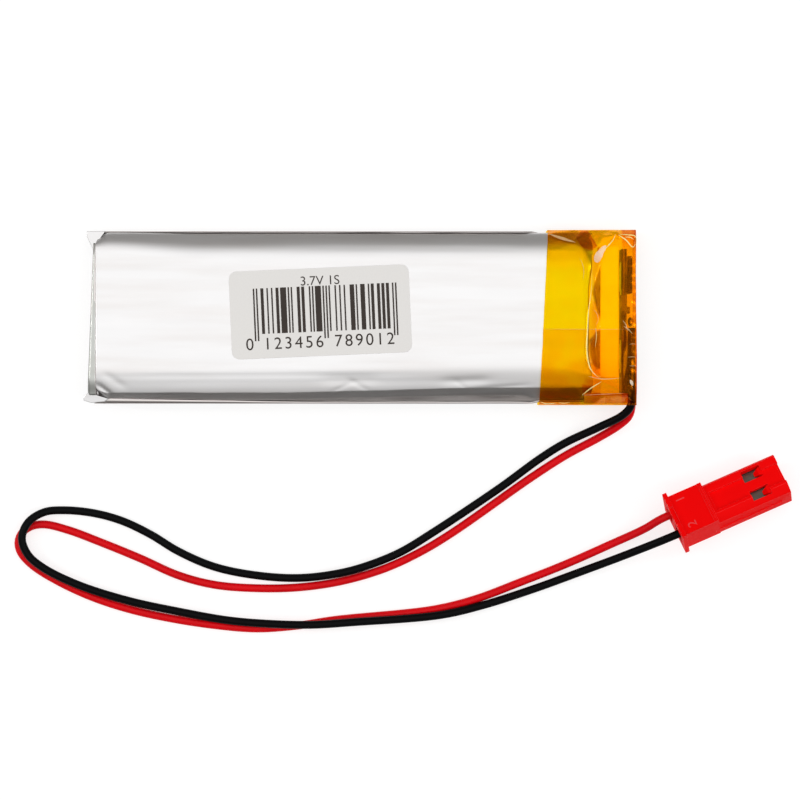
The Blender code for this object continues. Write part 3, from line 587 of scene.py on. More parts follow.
# Creases of the film, each a line of points: cell edge, strip, board, hollow, folded corners and border
FILM_CREASES = (
    ((24.7, 8.9, 5.85), (25.3, 8.05, 6.25), (25.8, 7.3, 6.42), (26.32, 6.1, 6.52), (26.4, 4.0, 6.55),
     (26.3, 2.5, 6.55), (25.96, -1.0, 6.56), (25.84, -3.6, 6.56), (26.05, -5.2, 6.52), (26.7, -6.4, 6.3),
     (27.6, -7.0, 6.0)),
    ((25.84, -3.6, 6.56), (25.9, -6.6, 6.42), (25.4, -8.0, 6.1), (25.2, -8.9, 5.7)),
    ((27.5, 7.0, 5.72), (27.5, 3.0, 5.7), (27.5, -1.0, 5.7), (27.5, -6.8, 5.72), (28.6, -7.1, 5.75),
     (30.7, -7.1, 5.6)),
    ((29.8, 9.0, 5.7), (29.8, 4.0, 5.68), (29.8, 0.0, 5.68), (29.8, -7.1, 5.68)),
    ((27.45, 6.2, 5.7), (26.75, 4.0, 5.8), (27.3, 0.0, 5.5), (27.1, -2.0, 5.5), (26.9, -3.5, 5.35),
     (27.2, -6.0, 5.45)),
    ((25.9, 10.0, 5.1), (27.1, 8.2, 5.75), (27.0, 7.2, 5.85), (26.32, 6.1, 6.52)),
    ((27.1, 8.2, 5.75), (29.24, 9.5, 5.88), (29.3, 10.0, 5.6)),
    ((29.8, 9.4, 5.72), (31.5, 9.55, 5.75), (31.68, 10.02, 5.1)),
    ((30.0, 9.2, 5.65), (31.2, 8.0, 5.6), (31.62, 8.2, 5.45)),
    ((25.2, -8.9, 5.7), (26.4, -8.1, 6.0), (27.6, -7.35, 5.98), (30.6, -8.9, 5.5)),
    ((25.2, -8.9, 5.7), (28.0, -9.05, 5.2), (30.6, -8.9, 5.5)),
    ((31.05, 7.6, 5.42), (31.1, 4.0, 5.38), (31.1, 0.0, 5.4), (31.1, -4.0, 5.38), (31.1, -8.0, 5.42)),
    ((31.7, 8.4, 5.1), (31.7, 5.0, 5.12), (31.7, 0.0, 5.1), (31.7, -5.0, 5.12), (31.7, -8.6, 5.0),
     (31.7, -10.02, 4.7)),
    ((20.9, 9.35, 5.6), (22.6, 8.9, 5.92), (24.2, 8.5, 6.12)),
)
# Points of the film that lie on no crease
LOOSE_POINTS = (
    (27.7, -8.3, 5.45), (31.7, 10.1, 5.1), (27.9, 9.3, 5.7), (29.0, -8.1, 5.6), (31.0, -0.9, 5.46),
    (24.4, 7.6, 6.38), (24.4, 6.4, 6.55), (24.3, 0.0, 6.58), (24.4, -6.4, 6.52), (24.4, -7.9, 6.25),
)
# The film's cross-section over the cell, and where it comes down beside the board
CELL_SECTION = (
    (0.0, 6.6), (6.4, 6.57), (7.7, 6.4), (8.5, 6.08), (9.2, 5.65), (9.65, 5.35), (9.95, 5.1), (10.1, 4.5),
)
CELL_STATIONS = (20.0, 22.2)
SIDE_STATIONS = ((24.4, 4.7, 4.7), (26.5, 4.8, 4.6), (28.2, 5.0, 3.9), (30.0, 4.9, 3.9))
# Height where two creases cross away from their points
CROSSING_HEIGHT = 5.6


def overlap_share(y):
    """1 where the upper wrap of tape lies over the lower one, and 0 beyond its edge."""
    return smoothstep(-0.05, 0.05, OVERLAP_EDGE - y)


def smooth_patch(x, y, middle, half, edge):
    """1 inside an ellipse and 0 outside it, with an edge this share of its size."""
    away = math.hypot((x - middle[0]) / half[0], (y - middle[1]) / half[1])
    return 1 - smoothstep(1 - edge, 1 + edge, away)


def inside_outline(x, y, outline):
    """Whether a place lies inside a closed outline."""
    inside = False
    for (ax, ay), (bx, by) in zip(outline, outline[1:] + outline[:1]):
        if (ay > y) != (by > y) and x < ax + (bx - ax) * (y - ay) / (by - ay):
            inside = not inside
    return inside


# Outlines where the film is folded over itself, with how much film that adds; a negative amount takes film
# away as painted light on a lit facet
FOLDED_PATCHES = (
    (((24.6, 9.2), (25.3, 10.1), (26.0, 10.1), (27.15, 8.2), (26.5, 7.7), (25.4, 8.0)), 0.5),
    (((25.1, -8.8), (27.9, -8.75), (30.9, -8.7), (30.9, -9.15), (25.1, -9.1)), 0.25),
    (((25.3, -7.7), (26.4, -8.0), (25.3, -9.0)), 0.2),
    (((26.2, -8.5), (27.6, -7.4), (30.2, -8.6), (28.0, -8.8)), -0.12),
    (((26.2, 10.1), (29.3, 10.1), (29.2, 9.6), (26.9, 7.3), (27.1, 8.3)), -0.2),
)


def film_layers_and_shade(x, y):
    """How much film lies here, with painted shade added as if it were more film: 0 for one layer, up to 1
    in the thickest folds.
    """
    layers_and_shade = 0.2 * overlap_share(y)
    # Painted shade: darker towards the shoulders at -Y and +Y, in the top-left corner, and in bands and
    # patches by the cell's end
    layers_and_shade += 0.14 * smoothstep(3.8, 7.6, -y)
    layers_and_shade += 0.16 * smoothstep(7.6, 9.2, -y) + 0.22 * smoothstep(7.9, 9.4, y)
    layers_and_shade += 0.08 * smoothstep(4.6, 7.6, y) * (1 - smoothstep(25.6, 26.6, x))
    at_board = smoothstep(BOARD_EDGE, BOARD_EDGE + 0.3, x)
    layers_and_shade += 0.2 * smoothstep(25.2, 26.2, x) * smoothstep(6.9, 7.4, -y) * (1 - at_board)
    layers_and_shade += 0.12 * smoothstep(26.3, 26.9, x) * (1 - smoothstep(27.4, 27.6, x))
    layers_and_shade += 0.1 * smooth_patch(x, y, (26.9, 0.3), (0.5, 1.6), 0.5)
    layers_and_shade -= 0.45 * smoothstep(8.6, 8.9, -y) * smoothstep(25.0, 25.4, x) * (1 - smoothstep(30.4, 30.9, x))
    # Painted shade: darker over the board and along the far border, where the space under the film lies in
    # shadow
    layers_and_shade += 0.45 * at_board + 0.14 * smoothstep(31.15, 31.4, x)
    layers_and_shade += 0.25 * smooth_patch(x, y, (30.6, -4.4), (0.7, 3.2), 0.25)
    # Painted light: lighter under the glare beside the leads' mouth
    layers_and_shade -= 0.35 * smooth_patch(x, y, (31.1, -7.55), (0.42, 0.45), 0.2)
    layers_and_shade += sum(extra for outline, extra in FOLDED_PATCHES if inside_outline(x, y, outline))
    return layers_and_shade + 0.06 * wobble(x, y, 0.7, 61.0)


def film_haze(x, y):
    """How much of its own amber the film shows here."""
    over_board = smoothstep(29.9, 30.2, x) * (1 - smoothstep(31.2, 31.5, x))
    before_board = 1 - smoothstep(29.6, 30.2, x)
    haze = 0.055 + 0.22 * smoothstep(7.9, 9.1, y) * before_board
    haze += 0.07 * smoothstep(4.8, 7.4, y) * (1 - smoothstep(25.6, 26.6, x))
    haze += (0.05 * smoothstep(7.2, 9.0, -y) + 0.12 * smoothstep(9.0, 9.4, -y)) * before_board
    haze += 0.05 * smoothstep(31.1, 31.4, x)
    haze += 0.2 * over_board * smoothstep(0.05, 0.4, wobble(3.0 * x, 0.3 * y, 1.0, 73.0))
    haze += 0.1 * smooth_patch(x, y, (30.6, 1.6), (0.9, 1.1), 0.3)
    return haze + 0.012 * wobble(x, y, 0.9, 67.0)


def film_field():
    """Flat facets between the creases, to be read by a ray from above."""
    points, edges = list(LOOSE_POINTS), []
    for line in FILM_CREASES:
        edges += [(len(points) + i, len(points) + i + 1) for i in range(len(line) - 1)]
        points += line
    for x in CELL_STATIONS:
        for y, z in CELL_SECTION:
            points += [(x, side * y, z) for side in ((1, -1) if y else (1,))]
    for x, plus_z, minus_z in SIDE_STATIONS:
        points += [(x, TAPE_HALF, plus_z), (x, -TAPE_HALF, minus_z)]
    flat = [Vector((x, y)) for x, y, _ in points]
    found_points, _, faces, origins, _, _ = delaunay_2d_cdt(flat, edges, [], 0, 1e-6)
    heights = [points[sources[0]][2] if sources else CROSSING_HEIGHT for sources in origins]
    verts = [Vector((co.x, co.y, z)) for co, z in zip(found_points, heights)]
    return BVHTree.FromPolygons(verts, [tuple(face) for face in faces])


FILM_FIELD = film_field()


def film_height(x, y):
    """Height of the creased film above a place, before its wrinkles are added."""
    inside_y = max(min(y, TAPE_HALF - 0.01), 0.01 - TAPE_HALF)
    hit = FILM_FIELD.ray_cast(Vector((min(x, TAPE_END - 0.01), inside_y, 50.0)), Vector((0, 0, -1)))[0]
    return hit.z if hit else 5.0


# -------- pouch

cup_low, cup_high = (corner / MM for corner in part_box("pouch_cup"))
sheet_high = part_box("pouch_back_sheet")[1] / MM

CELL_END = 26.6
# Radius of the cup's corners seen from above
CORNER = 1.7
# The shoulder at the cup's two ends is this share of the one along its +Y side
END_SHARE = 0.04
FOLD_TOP = 5.25
# Over this stretch of X the back sheet draws in, to pass inside the tape
TAPE_STEP = (19.7, 20.3)
# The shoulder's tilt in degrees at distances in from the wall, on each side; the wall's bend follows
SHOULDER_TILTS = {
    1: ((3.3, 0), (2.5, 9), (2.0, 17), (1.6, 24), (1.25, 30), (0.7, 35), (0.12, 40)),
    -1: ((4.0, 0), (3.1, 11), (2.3, 15), (1.5, 16), (0.9, 18.5), (0.75, 38), (0.12, 42)),
}
SHOULDER_WIDTH = {side: table[0][0] for side, table in SHOULDER_TILTS.items()}
# How far the dark lower band of the -Y shoulder widens towards the terminals
BAND_GROWTH = 1.1
# The least gap between the film and the pouch under it
UNDER_FILM = 0.15
# The end fold's ledge falls this much for each millimetre away from the cup
LEDGE_SLOPE = 0.12
CUP_WALL = 0.11
SHEET_WALL = 0.12

# Soft dents and creases of the face: middle, half sizes, turn in degrees, depth
DENTS = (
    ((-1.4, -7.2), (3.2, 0.5), 0.0, 0.05),
    ((11.9, -7.3), (2.6, 0.45), 2.0, 0.06),
    ((-12.0, -6.7), (15.0, 0.32), 0.3, 0.05),
    ((-8.0, -7.4), (17.0, 0.4), 0.2, 0.025),
    ((-29.75, -8.3), (1.0, 0.22), -38.0, 0.14),
    ((-28.6, -7.2), (1.4, 0.35), -34.0, 0.05),
    ((6.0, 7.9), (12.0, 0.4), -0.4, 0.02),
    ((-0.5, -7.75), (1.2, 0.16), -30.0, 0.045),
    ((-2.1, -7.95), (1.3, 0.18), 24.0, 0.03),
    ((11.3, -7.7), (0.7, 0.14), -38.0, 0.04),
    ((16.0, -8.0), (3.2, 0.2), 4.0, 0.03),
)


def face_relief(x, y):
    """How far the top face lies below its highest plane, in millimetres."""
    drop = 0.05 * smoothstep(4.2, 7.4, -y) + 0.006 * (1 + wobble(x, y, 0.12, 3.0))
    for (middle_x, middle_y), (half_length, half_width), turn, depth in DENTS:
        angle = math.radians(turn)
        dx, dy = x - middle_x, y - middle_y
        along = dx * math.cos(angle) + dy * math.sin(angle)
        across = dy * math.cos(angle) - dx * math.sin(angle)
        drop += depth * bell(across, half_width) / (1 + (along / half_length) ** 6)
    return drop


def side_half(x, side):
    """Where the cup's wall stands; on -Y the fold beside it shows near the closed end."""
    if side > 0:
        return 9.75
    return 9.32 + 0.4 * smoothstep(-36.0, -2.0, x)


def shoulder_profile(side, x):
    """(reach, fall, tilt, share of the wall passed) from the flat face out over the shoulder and down."""
    table = SHOULDER_TILTS[side]
    if side < 0:
        wider = BAND_GROWTH * smoothstep(-34.0, 24.0, x) + 0.16 * wobble(x, 0.0, 0.11, 31.0)
        wider += 0.05 * wobble(x, 0.0, 0.5, 33.0)
        table = [(near + (wider if near > 0.5 else 0.0), tilt) for near, tilt in table]
    width = SHOULDER_WIDTH[side]
    scale = width / table[0][0]
    profile = []
    reach, fall = 0.0, 0.0
    for (near, first), (far, last) in zip(table, table[1:]):
        for step in range(3):
            length = (near - far) / 3 * scale
            middle = math.radians(first + (last - first) * (step + 0.5) / 3)
            reach, fall = reach + length, fall + length * math.tan(middle)
            profile.append((reach, fall, middle, 0.0))
    start = math.radians(table[-1][1])
    radius = table[-1][0] * scale / (1 - math.sin(start))
    for turn in spread(start, math.pi / 2, 6)[1:]:
        out = radius * (math.sin(turn) - math.sin(start))
        down = radius * (math.cos(start) - math.cos(turn))
        profile.append((reach + out, fall + down, turn, 0.0))
    reach, fall = profile[-1][:2]
    return profile + [(reach, fall, math.pi / 2, share) for share in spread(0.0, 1.0, 7)[1:]]


RINGS = len(shoulder_profile(1, 0.0))


def shoulder_scale(x, side):
    """The shoulder is narrower at the closed end, as a share of the profile."""
    if side > 0:
        return 0.7 + 0.3 * smoothstep(-30.0, -18.0, x)
    return 0.86 + 0.22 * smoothstep(-27.0, 18.0, x)


def round_corner(x, y):
    """Moves points near the cup's four corners so that its outline is round there."""
    for side_x, edge in ((-1, cup_low.x), (1, CELL_END)):
        for side_y in (-1, 1):
            half = side_half(x, side_y)
            u = (side_x * (x - edge) + CORNER) / CORNER
            v = (side_y * y - half + CORNER) / CORNER
            if u > 0 and v > 0:
                u, v = u * math.sqrt(1 - min(v, 1) ** 2 / 2), v * math.sqrt(1 - min(u, 1) ** 2 / 2)
                return edge + side_x * CORNER * (u - 1), side_y * (half - CORNER + CORNER * v)
    return x, y


def cup_point(x, x_ring, share, y_ring, profiles):
    """One point of the cup, from its ring along each axis and its share of the flat face along Y."""
    scales = {side: shoulder_scale(x, side) for side in (-1, 1)}
    ends = {side: side * (side_half(x, side) - SHOULDER_WIDTH[side] * scales[side]) for side in (-1, 1)}
    y = ends[-1] + (ends[1] - ends[-1]) * share
    if y_ring:
        side = 1 if y_ring > 0 else -1
        y += side * profiles[side][abs(y_ring) - 1][0] * scales[side]
    if x_ring:
        x += math.copysign(END_SHARE * profiles[1][abs(x_ring) - 1][0], x_ring)
    ring = max(abs(x_ring), abs(y_ring))
    fall, tilt, passed = 0.0, 0.0, 0.0
    if ring:
        _, low_fall, low_tilt, passed = profiles[-1][ring - 1]
        _, high_fall, high_tilt, _ = profiles[1][ring - 1]
        fall = low_fall * scales[-1] * (1 - share) + high_fall * scales[1] * share
        tilt = low_tilt * (1 - share) + high_tilt * share
    if y_ring:
        y += 0.03 * wobble(x, y, 0.3, 5.0) * math.sin(tilt)
    x, y = round_corner(x, y)
    z = cup_high.z - fall - face_relief(x, y) * math.cos(tilt)
    z = z + (cup_low.z - z) * passed
    if x > TAPE_LEFT[0] + 1.2 and not passed:
        z = min(z, film_height(x, y) - UNDER_FILM - 0.12 * smoothstep(25.6, 26.0, x))
    return x, y, z


def cup_rows():
    """Grid over the face whose outer lines are rings over the shoulder and down the wall."""
    rings = range(1, RINGS + 1)
    end_width = SHOULDER_WIDTH[1] * END_SHARE
    flat_x = (cup_low.x + end_width, CELL_END - end_width)
    xs = [(flat_x[0], -k) for k in reversed(rings)] + [(x, 0) for x in spread(*flat_x, 190)]
    xs += [(flat_x[1], k) for k in rings]
    ys = [(0.0, -k) for k in reversed(rings)] + [(share, 0) for share in spread(0.0, 1.0, 70)]
    ys += [(1.0, k) for k in rings]
    rows = []
    for x, x_ring in xs:
        profiles = {side: shoulder_profile(side, x) for side in (-1, 1)}
        rows.append([cup_point(x, x_ring, share, y_ring, profiles) for share, y_ring in ys])
    return rows


pouch_face = add_object("pouch_face", grid_mesh("pouch_face", cup_rows(), flip=True), LAMINATE)
solidify(pouch_face, CUP_WALL)
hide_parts("pouch_cup")


def fold_section(x, side):
    """One folded edge from its rim by the cup, out and down to the pouch's underside."""
    half = sheet_high.y - 0.02 - 0.17 * smoothstep(*TAPE_STEP, x)
    top = FOLD_TOP + 0.08 * wobble(x, 5 * side, 0.16, 11.0) - 0.4 * smoothstep(18.5, 20.0, x)
    lean = 0.04 * wobble(x, 3 * side, 0.2, 21.0)
    curl = 0.12 if side > 0 else 0.6 - 0.4 * smoothstep(-36.0, -2.0, x)
    points = [
        (half - curl + lean, top),
        (half - 0.5 * curl + lean, top - 0.26 * curl),
        (half - 0.12 * curl + 0.5 * lean, top - 0.46 * curl),
        (half - 0.05 * curl, top - 0.52 * curl),
        (half, top - 0.52 * curl - 0.06),
        (half, top - curl - 0.3),
    ]
    for share in (0.75, 0.5, 0.25):
        bow = 0.03 * wobble(x, 9 * side + share, 0.3, 2.0)
        points.append((half - 0.03 + bow, (top - 1.2) * share + 0.3))
    for step in range(5):
        angle = math.radians(90 * step / 4)
        points.append((half - 0.4 + 0.4 * math.cos(angle), 0.42 - 0.4 * math.sin(angle)))
    return [(side * y, z) for y, z in points]


def back_sheet_mesh():
    """Channel of laminate under the cup, with its edges folded up and a step up over the tape."""
    rows = []
    for x in spread(-30.9, 26.5, 150):
        flat = [(y, 0.02) for y in spread(sheet_high.y - 0.8, 0.8 - sheet_high.y, 24)]
        loop = fold_section(x, 1) + flat + fold_section(x, -1)[::-1]
        rise = 0.18 * smoothstep(*TAPE_STEP, x)
        rows.append([(x, y, z + rise * (1 - smoothstep(0.5, 3.0, z))) for y, z in loop])
    return grid_mesh("back_sheet", rows, flip=True)


def end_fold_mesh():
    """The closed end's fold: a ledge out from the cup and a wall below it, flared towards the -Y corner."""
    rows = []
    for y in spread(8.5, -8.95, 90):
        flare = 0.62 * min(max((7.4 - y) / 15.6, 0.0), 1.0) + 0.02 * wobble(y, 0.0, 0.35, 17.0)
        inner, edge = cup_low.x + 0.1, cup_low.x - 0.1 - flare
        ledge = cup_high.z - 0.14 - 0.6 * smoothstep(7.0, 9.4, abs(y)) + 0.03 * wobble(y, 2.0, 0.3, 19.0)
        low = ledge - LEDGE_SLOPE * (inner - edge)
        ledge_shares = (0.0, 0.08, 0.4, 0.7, 0.93)
        row = [(inner + (edge - inner) * share, y, ledge + (low - ledge) * share) for share in ledge_shares]
        row += [(edge, y, low - 0.03), (edge - 0.01, y, low - 0.12), (edge, y, low - 0.5)]
        row += [(edge + (0.15 + 0.6 * flare) * (1 - z / 4.0), y, z) for z in (4.0, 3.0, 2.0, 1.0, 0.1)]
        rows.append(row)
    return grid_mesh("end_fold", rows, flip=True)


# Folded corners of the pouch: their outline from above, and how their top slopes along X and Y
EARS = {
    "left_pouch_ear": ((
        (-31.75, 9.93), (-31.72, 9.3), (-31.4, 8.6), (-31.05, 7.9), (-30.88, 7.3), (-30.72, 7.9),
        (-30.5, 8.55), (-30.2, 9.05), (-29.95, 9.4), (-29.75, 9.65), (-29.6, 9.93),
    ), (0.16, -0.05)),
    "right_pouch_ear": ((
        (-32.12, -9.3), (-31.9, -8.95), (-31.6, -8.7), (-30.95, -8.85), (-30.1, -9.12), (-29.2, -9.4),
        (-29.7, -9.72), (-31.2, -9.86), (-32.1, -9.6),
    ), (0.08, 0.16)),
}
EAR_BOTTOM = 0.8
EAR_TOP = 5.8


def ear_mesh(name, outline, tilt):
    """Folded corner of the pouch: an upright wing with a sloping top."""
    mesh = prism_mesh(name, outline, EAR_BOTTOM, EAR_TOP)
    middle = sum((vert.co for vert in mesh.vertices), Vector()) / len(mesh.vertices)
    for vert in mesh.vertices:
        if vert.co.z > middle.z:
            vert.co.z += tilt[0] * (vert.co.x - middle.x) + tilt[1] * (vert.co.y - middle.y)
    return mesh


back_mesh = join_meshes("pouch_back", [back_sheet_mesh(), end_fold_mesh()])
back_mesh.shade_smooth()
pouch_back = add_object("pouch_back", back_mesh, [FOLD_LAMINATE, SEAL_LAMINATE])
for face in back_mesh.polygons:
    on_ledge = face.center.x < cup_low.x * MM and abs(face.normal.z) > 0.7 and face.center.z > 4 * MM
    face.material_index = 1 if on_ledge else 0
solidify(pouch_back, SHEET_WALL)
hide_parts("pouch_back_sheet")
for ear_name, ear_shape in EARS.items():
    soften(add_object(ear_name, ear_mesh(ear_name, *ear_shape), LAMINATE), 0.05)


# -------- tape

FILM_WALL = 0.05
# The tape's flat under the pack, how high it lies, and the radius where its sides turn in to it
UNDERSIDE_HALF = 9.5
UNDERSIDE = 0.02
LOWER_BEND = 0.35
# How much film there is and how hazy it is, away from the top
SIDE_LAYERS = 0.3
SIDE_HAZE = 0.05
# Points above this height belong to the film's top
TOP_ABOVE = 3.3


def film_top(xs, ys):
    """Heights over a grid of places, with creases a little rounded and fine crumple in the corners."""
    heights = np.zeros(xs.shape)
    for index in np.ndindex(xs.shape):
        heights[index] = film_height(xs[index], ys[index])
    for _ in range(2):
        padded = np.pad(heights, 1, mode="edge")
        around = padded[:-2, 1:-1] + padded[2:, 1:-1] + padded[1:-1, :-2] + padded[1:-1, 2:]
        heights = 0.5 * heights + 0.125 * around
    for index in np.ndindex(xs.shape):
        x, y = xs[index], ys[index]
        corner = smoothstep(24.2, 26.5, x) * (0.35 + 0.65 * smoothstep(6.0, 8.0, abs(y)))
        flat_strip = smoothstep(STRIP_EDGE - 0.3, STRIP_EDGE, x)
        flat_strip *= smoothstep(-BOARD_EDGE, 0.3 - BOARD_EDGE, -x) * smoothstep(-7.2, -6.6, -abs(y))
        ridge = 1 - abs(wobble(x, y, 0.9, 4.0)) * 2
        fine = wobble(x, y, 2.2, 8.0)
        inland = 1 - smoothstep(9.2, 9.7, abs(y))
        heights[index] += corner * inland * (1 - flat_strip) * (0.04 * ridge + 0.02 * fine) + 0.004 * fine
        heights[index] += 0.03 * overlap_share(y)
    return heights


def far_edge(y):
    """The film's far end leans out a little towards the leads and waves."""
    return TAPE_END - 0.1 + 0.1 * smoothstep(-5.0, 5.0, -y) + 0.03 * wobble(y, 0.0, 0.35, 91.0)


def side_section(x, side, edge):
    """The film's side, from its top edge at this height down to the underside."""
    section = []
    for share in spread(0.94, 0.12, 12):
        bow = 0.035 * wobble(x, 12 * share + side, 0.5, 6.0) * math.sin(math.pi * share)
        section.append((x, side * (TAPE_HALF + 0.03 + bow), edge * share))
    for angle in spread(0.2, math.pi / 2, 5):
        out = TAPE_HALF + UNDERSIDE - LOWER_BEND * (1 - math.cos(angle))
        section.append((x, side * out, UNDERSIDE + LOWER_BEND * (1 - math.sin(angle))))
    return section


def side_clear_of_mouth(middle):
    """Whether a face of the sleeve lies outside the leads' opening."""
    at_side = middle.y < 0.02 - TAPE_HALF and middle.x > MOUTH_X
    return not (at_side and MOUTH_Z[0] < middle.z < MOUTH_Z[1])


def end_clear_of_mouth(middle):
    """Whether a face of the far end lies outside the leads' opening."""
    return not (middle.y < MOUTH_Y and MOUTH_Z[0] < middle.z < MOUTH_Z[1])


def tape_grid():
    """Places and heights of the film's top, from the edge over the cell to the far end."""
    columns, across = 130, 190
    shares = np.linspace(0, 1, columns)
    ys = np.linspace(TAPE_HALF, -TAPE_HALF, across)
    left = TAPE_LEFT[0] + (TAPE_LEFT[1] - TAPE_LEFT[0]) * (ys + TAPE_HALF) / (2 * TAPE_HALF)
    left = left + [0.04 * wobble(y, 0.0, 0.5, 41.0) for y in ys]
    right = np.array([far_edge(y) for y in ys])
    xs = left[None, :] + (right - left)[None, :] * shares[:, None]
    grid_y = np.repeat(ys[None, :], columns, axis=0)
    return xs, grid_y, film_top(xs, grid_y)


def sleeve_mesh(xs, ys, tops):
    """The film round the pack, open at both ends."""
    rows = []
    for line_x, line_y, line_z in zip(xs, ys, tops):
        row = list(zip(line_x, line_y, line_z)) + side_section(line_x[-1], -1, line_z[-1])
        row += [(line_x[-1], y, UNDERSIDE) for y in spread(-UNDERSIDE_HALF, UNDERSIDE_HALF, 30)]
        rows.append(row + side_section(line_x[0], 1, line_z[0])[::-1])
    return grid_mesh("sleeve", rows, closed=True, wanted=side_clear_of_mouth)


def end_film_mesh(edge_x, edge_y, edge_z):
    """The film that closes the far end, a little bulged, below the edge of the film's top."""
    rows = []
    for share in spread(1.0, 0.0, 22):
        row = []
        for x, y, top in zip(edge_x, edge_y, edge_z):
            z = UNDERSIDE + (top - UNDERSIDE) * share
            bulge = 0.03 * math.sin(math.pi * share) * (1 + wobble(y, z, 0.5, 51.0))
            row.append((x + bulge, y, z))
        rows.append(row)
    return grid_mesh("end_film", rows, wanted=end_clear_of_mouth)


def store_fact(mesh, name, rule):
    """Stores the rule's value at each point, in millimetres, where the material can read it."""
    amounts = mesh.attributes.new(name, "FLOAT", "POINT")
    for vert, amount in zip(mesh.vertices, amounts.data):
        amount.value = rule(vert.co / MM)


def tape_layers_and_shade(point):
    return film_layers_and_shade(point.x, point.y) if point.z > TOP_ABOVE else SIDE_LAYERS


def tape_haze(point):
    return film_haze(point.x, point.y) if point.z > TOP_ABOVE else SIDE_HAZE


top_x, top_y, top_z = tape_grid()
tape_parts = [sleeve_mesh(top_x, top_y, top_z), end_film_mesh(top_x[-1], top_y[-1], top_z[-1])]
tape_mesh = join_meshes("amber_tape", tape_parts, weld=0.004)
tape_mesh.shade_smooth()
store_fact(tape_mesh, "layers_and_shade", tape_layers_and_shade)
store_fact(tape_mesh, "haze", tape_haze)
amber_tape = add_object("amber_tape", tape_mesh, FILM)
solidify(amber_tape, FILM_WALL)
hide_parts("polyimide_tape")


# -------- paper under the film

FLAP_WALL = 0.05
# How far the paper lies below the creased film
FLAP_DROP = 0.16


def end_flap_mesh():
    """Fibre paper laid under the film from the cell's edge to the insulating strip, which carries painted
    shade in its dark patches.
    """
    far = STRIP_EDGE - 0.05
    rows = []
    for share in spread(0.0, 1.0, 26):
        row = []
        for y in spread(7.2, -7.0, 150):
            near = 26.1 + 0.35 * smoothstep(3.4, 6.4, abs(y + 0.4))
            x = near + (far - near) * share
            row.append((x, y, film_height(x, y) - FLAP_DROP))
        rows.append(row)
    return grid_mesh("end_flap", rows, flip=True)


def corner_shade_flap_mesh():
    """Folded paper under the film beside the leads' corner, dark with painted shade that stands for the
    shadowed gap beneath.
    """
    rows = []
    for x in spread(25.6, 30.7, 40):
        rows.append([(x, y, film_height(x, y) - FLAP_DROP) for y in spread(-8.75, -9.9, 14)])
    return grid_mesh("corner_shade_flap", rows)


# Outlines where the film's folds shade the paper: a wedge beside the strip and a long oval below it
SHADED_PAPER = (
    ((27.6, 6.2), (27.1, 5.0), (26.5, 2.9), (26.75, 1.8), (27.15, 0.6), (27.6, -0.3)),
    ((26.15, -2.6), (26.6, -2.2), (27.0, -1.6), (27.6, -1.4), (27.6, -5.9), (27.0, -5.95), (26.5, -5.3),
     (26.2, -4.0)),
)
# Places round a point whose average makes an outline's edge soft
SOFT_OFFSETS = (-0.12, -0.04, 0.04, 0.12)


def paper_shade(point):
    """How deep in shade the paper is here, from 0 to 1."""
    x, y = point.x, point.y
    spots = [(x + dx, y + dy) for dx in SOFT_OFFSETS for dy in SOFT_OFFSETS]
    inside = sum(inside_outline(*spot, outline) for spot in spots for outline in SHADED_PAPER)
    fold_shade = inside / len(spots) * (0.85 + 0.25 * wobble(x, y, 1.2, 77.0))
    return fold_shade + 0.45 * smoothstep(8.5, 8.7, -y)


for flap_name, flap_mesh in (("end_flap", end_flap_mesh()), ("corner_shade_flap", corner_shade_flap_mesh())):
    store_fact(flap_mesh, "shade", paper_shade)
    solidify(add_object(flap_name, flap_mesh, FIBRE_FLAP), FLAP_WALL)


# -------- painted highlights along the film's sharp folds, and painted glare

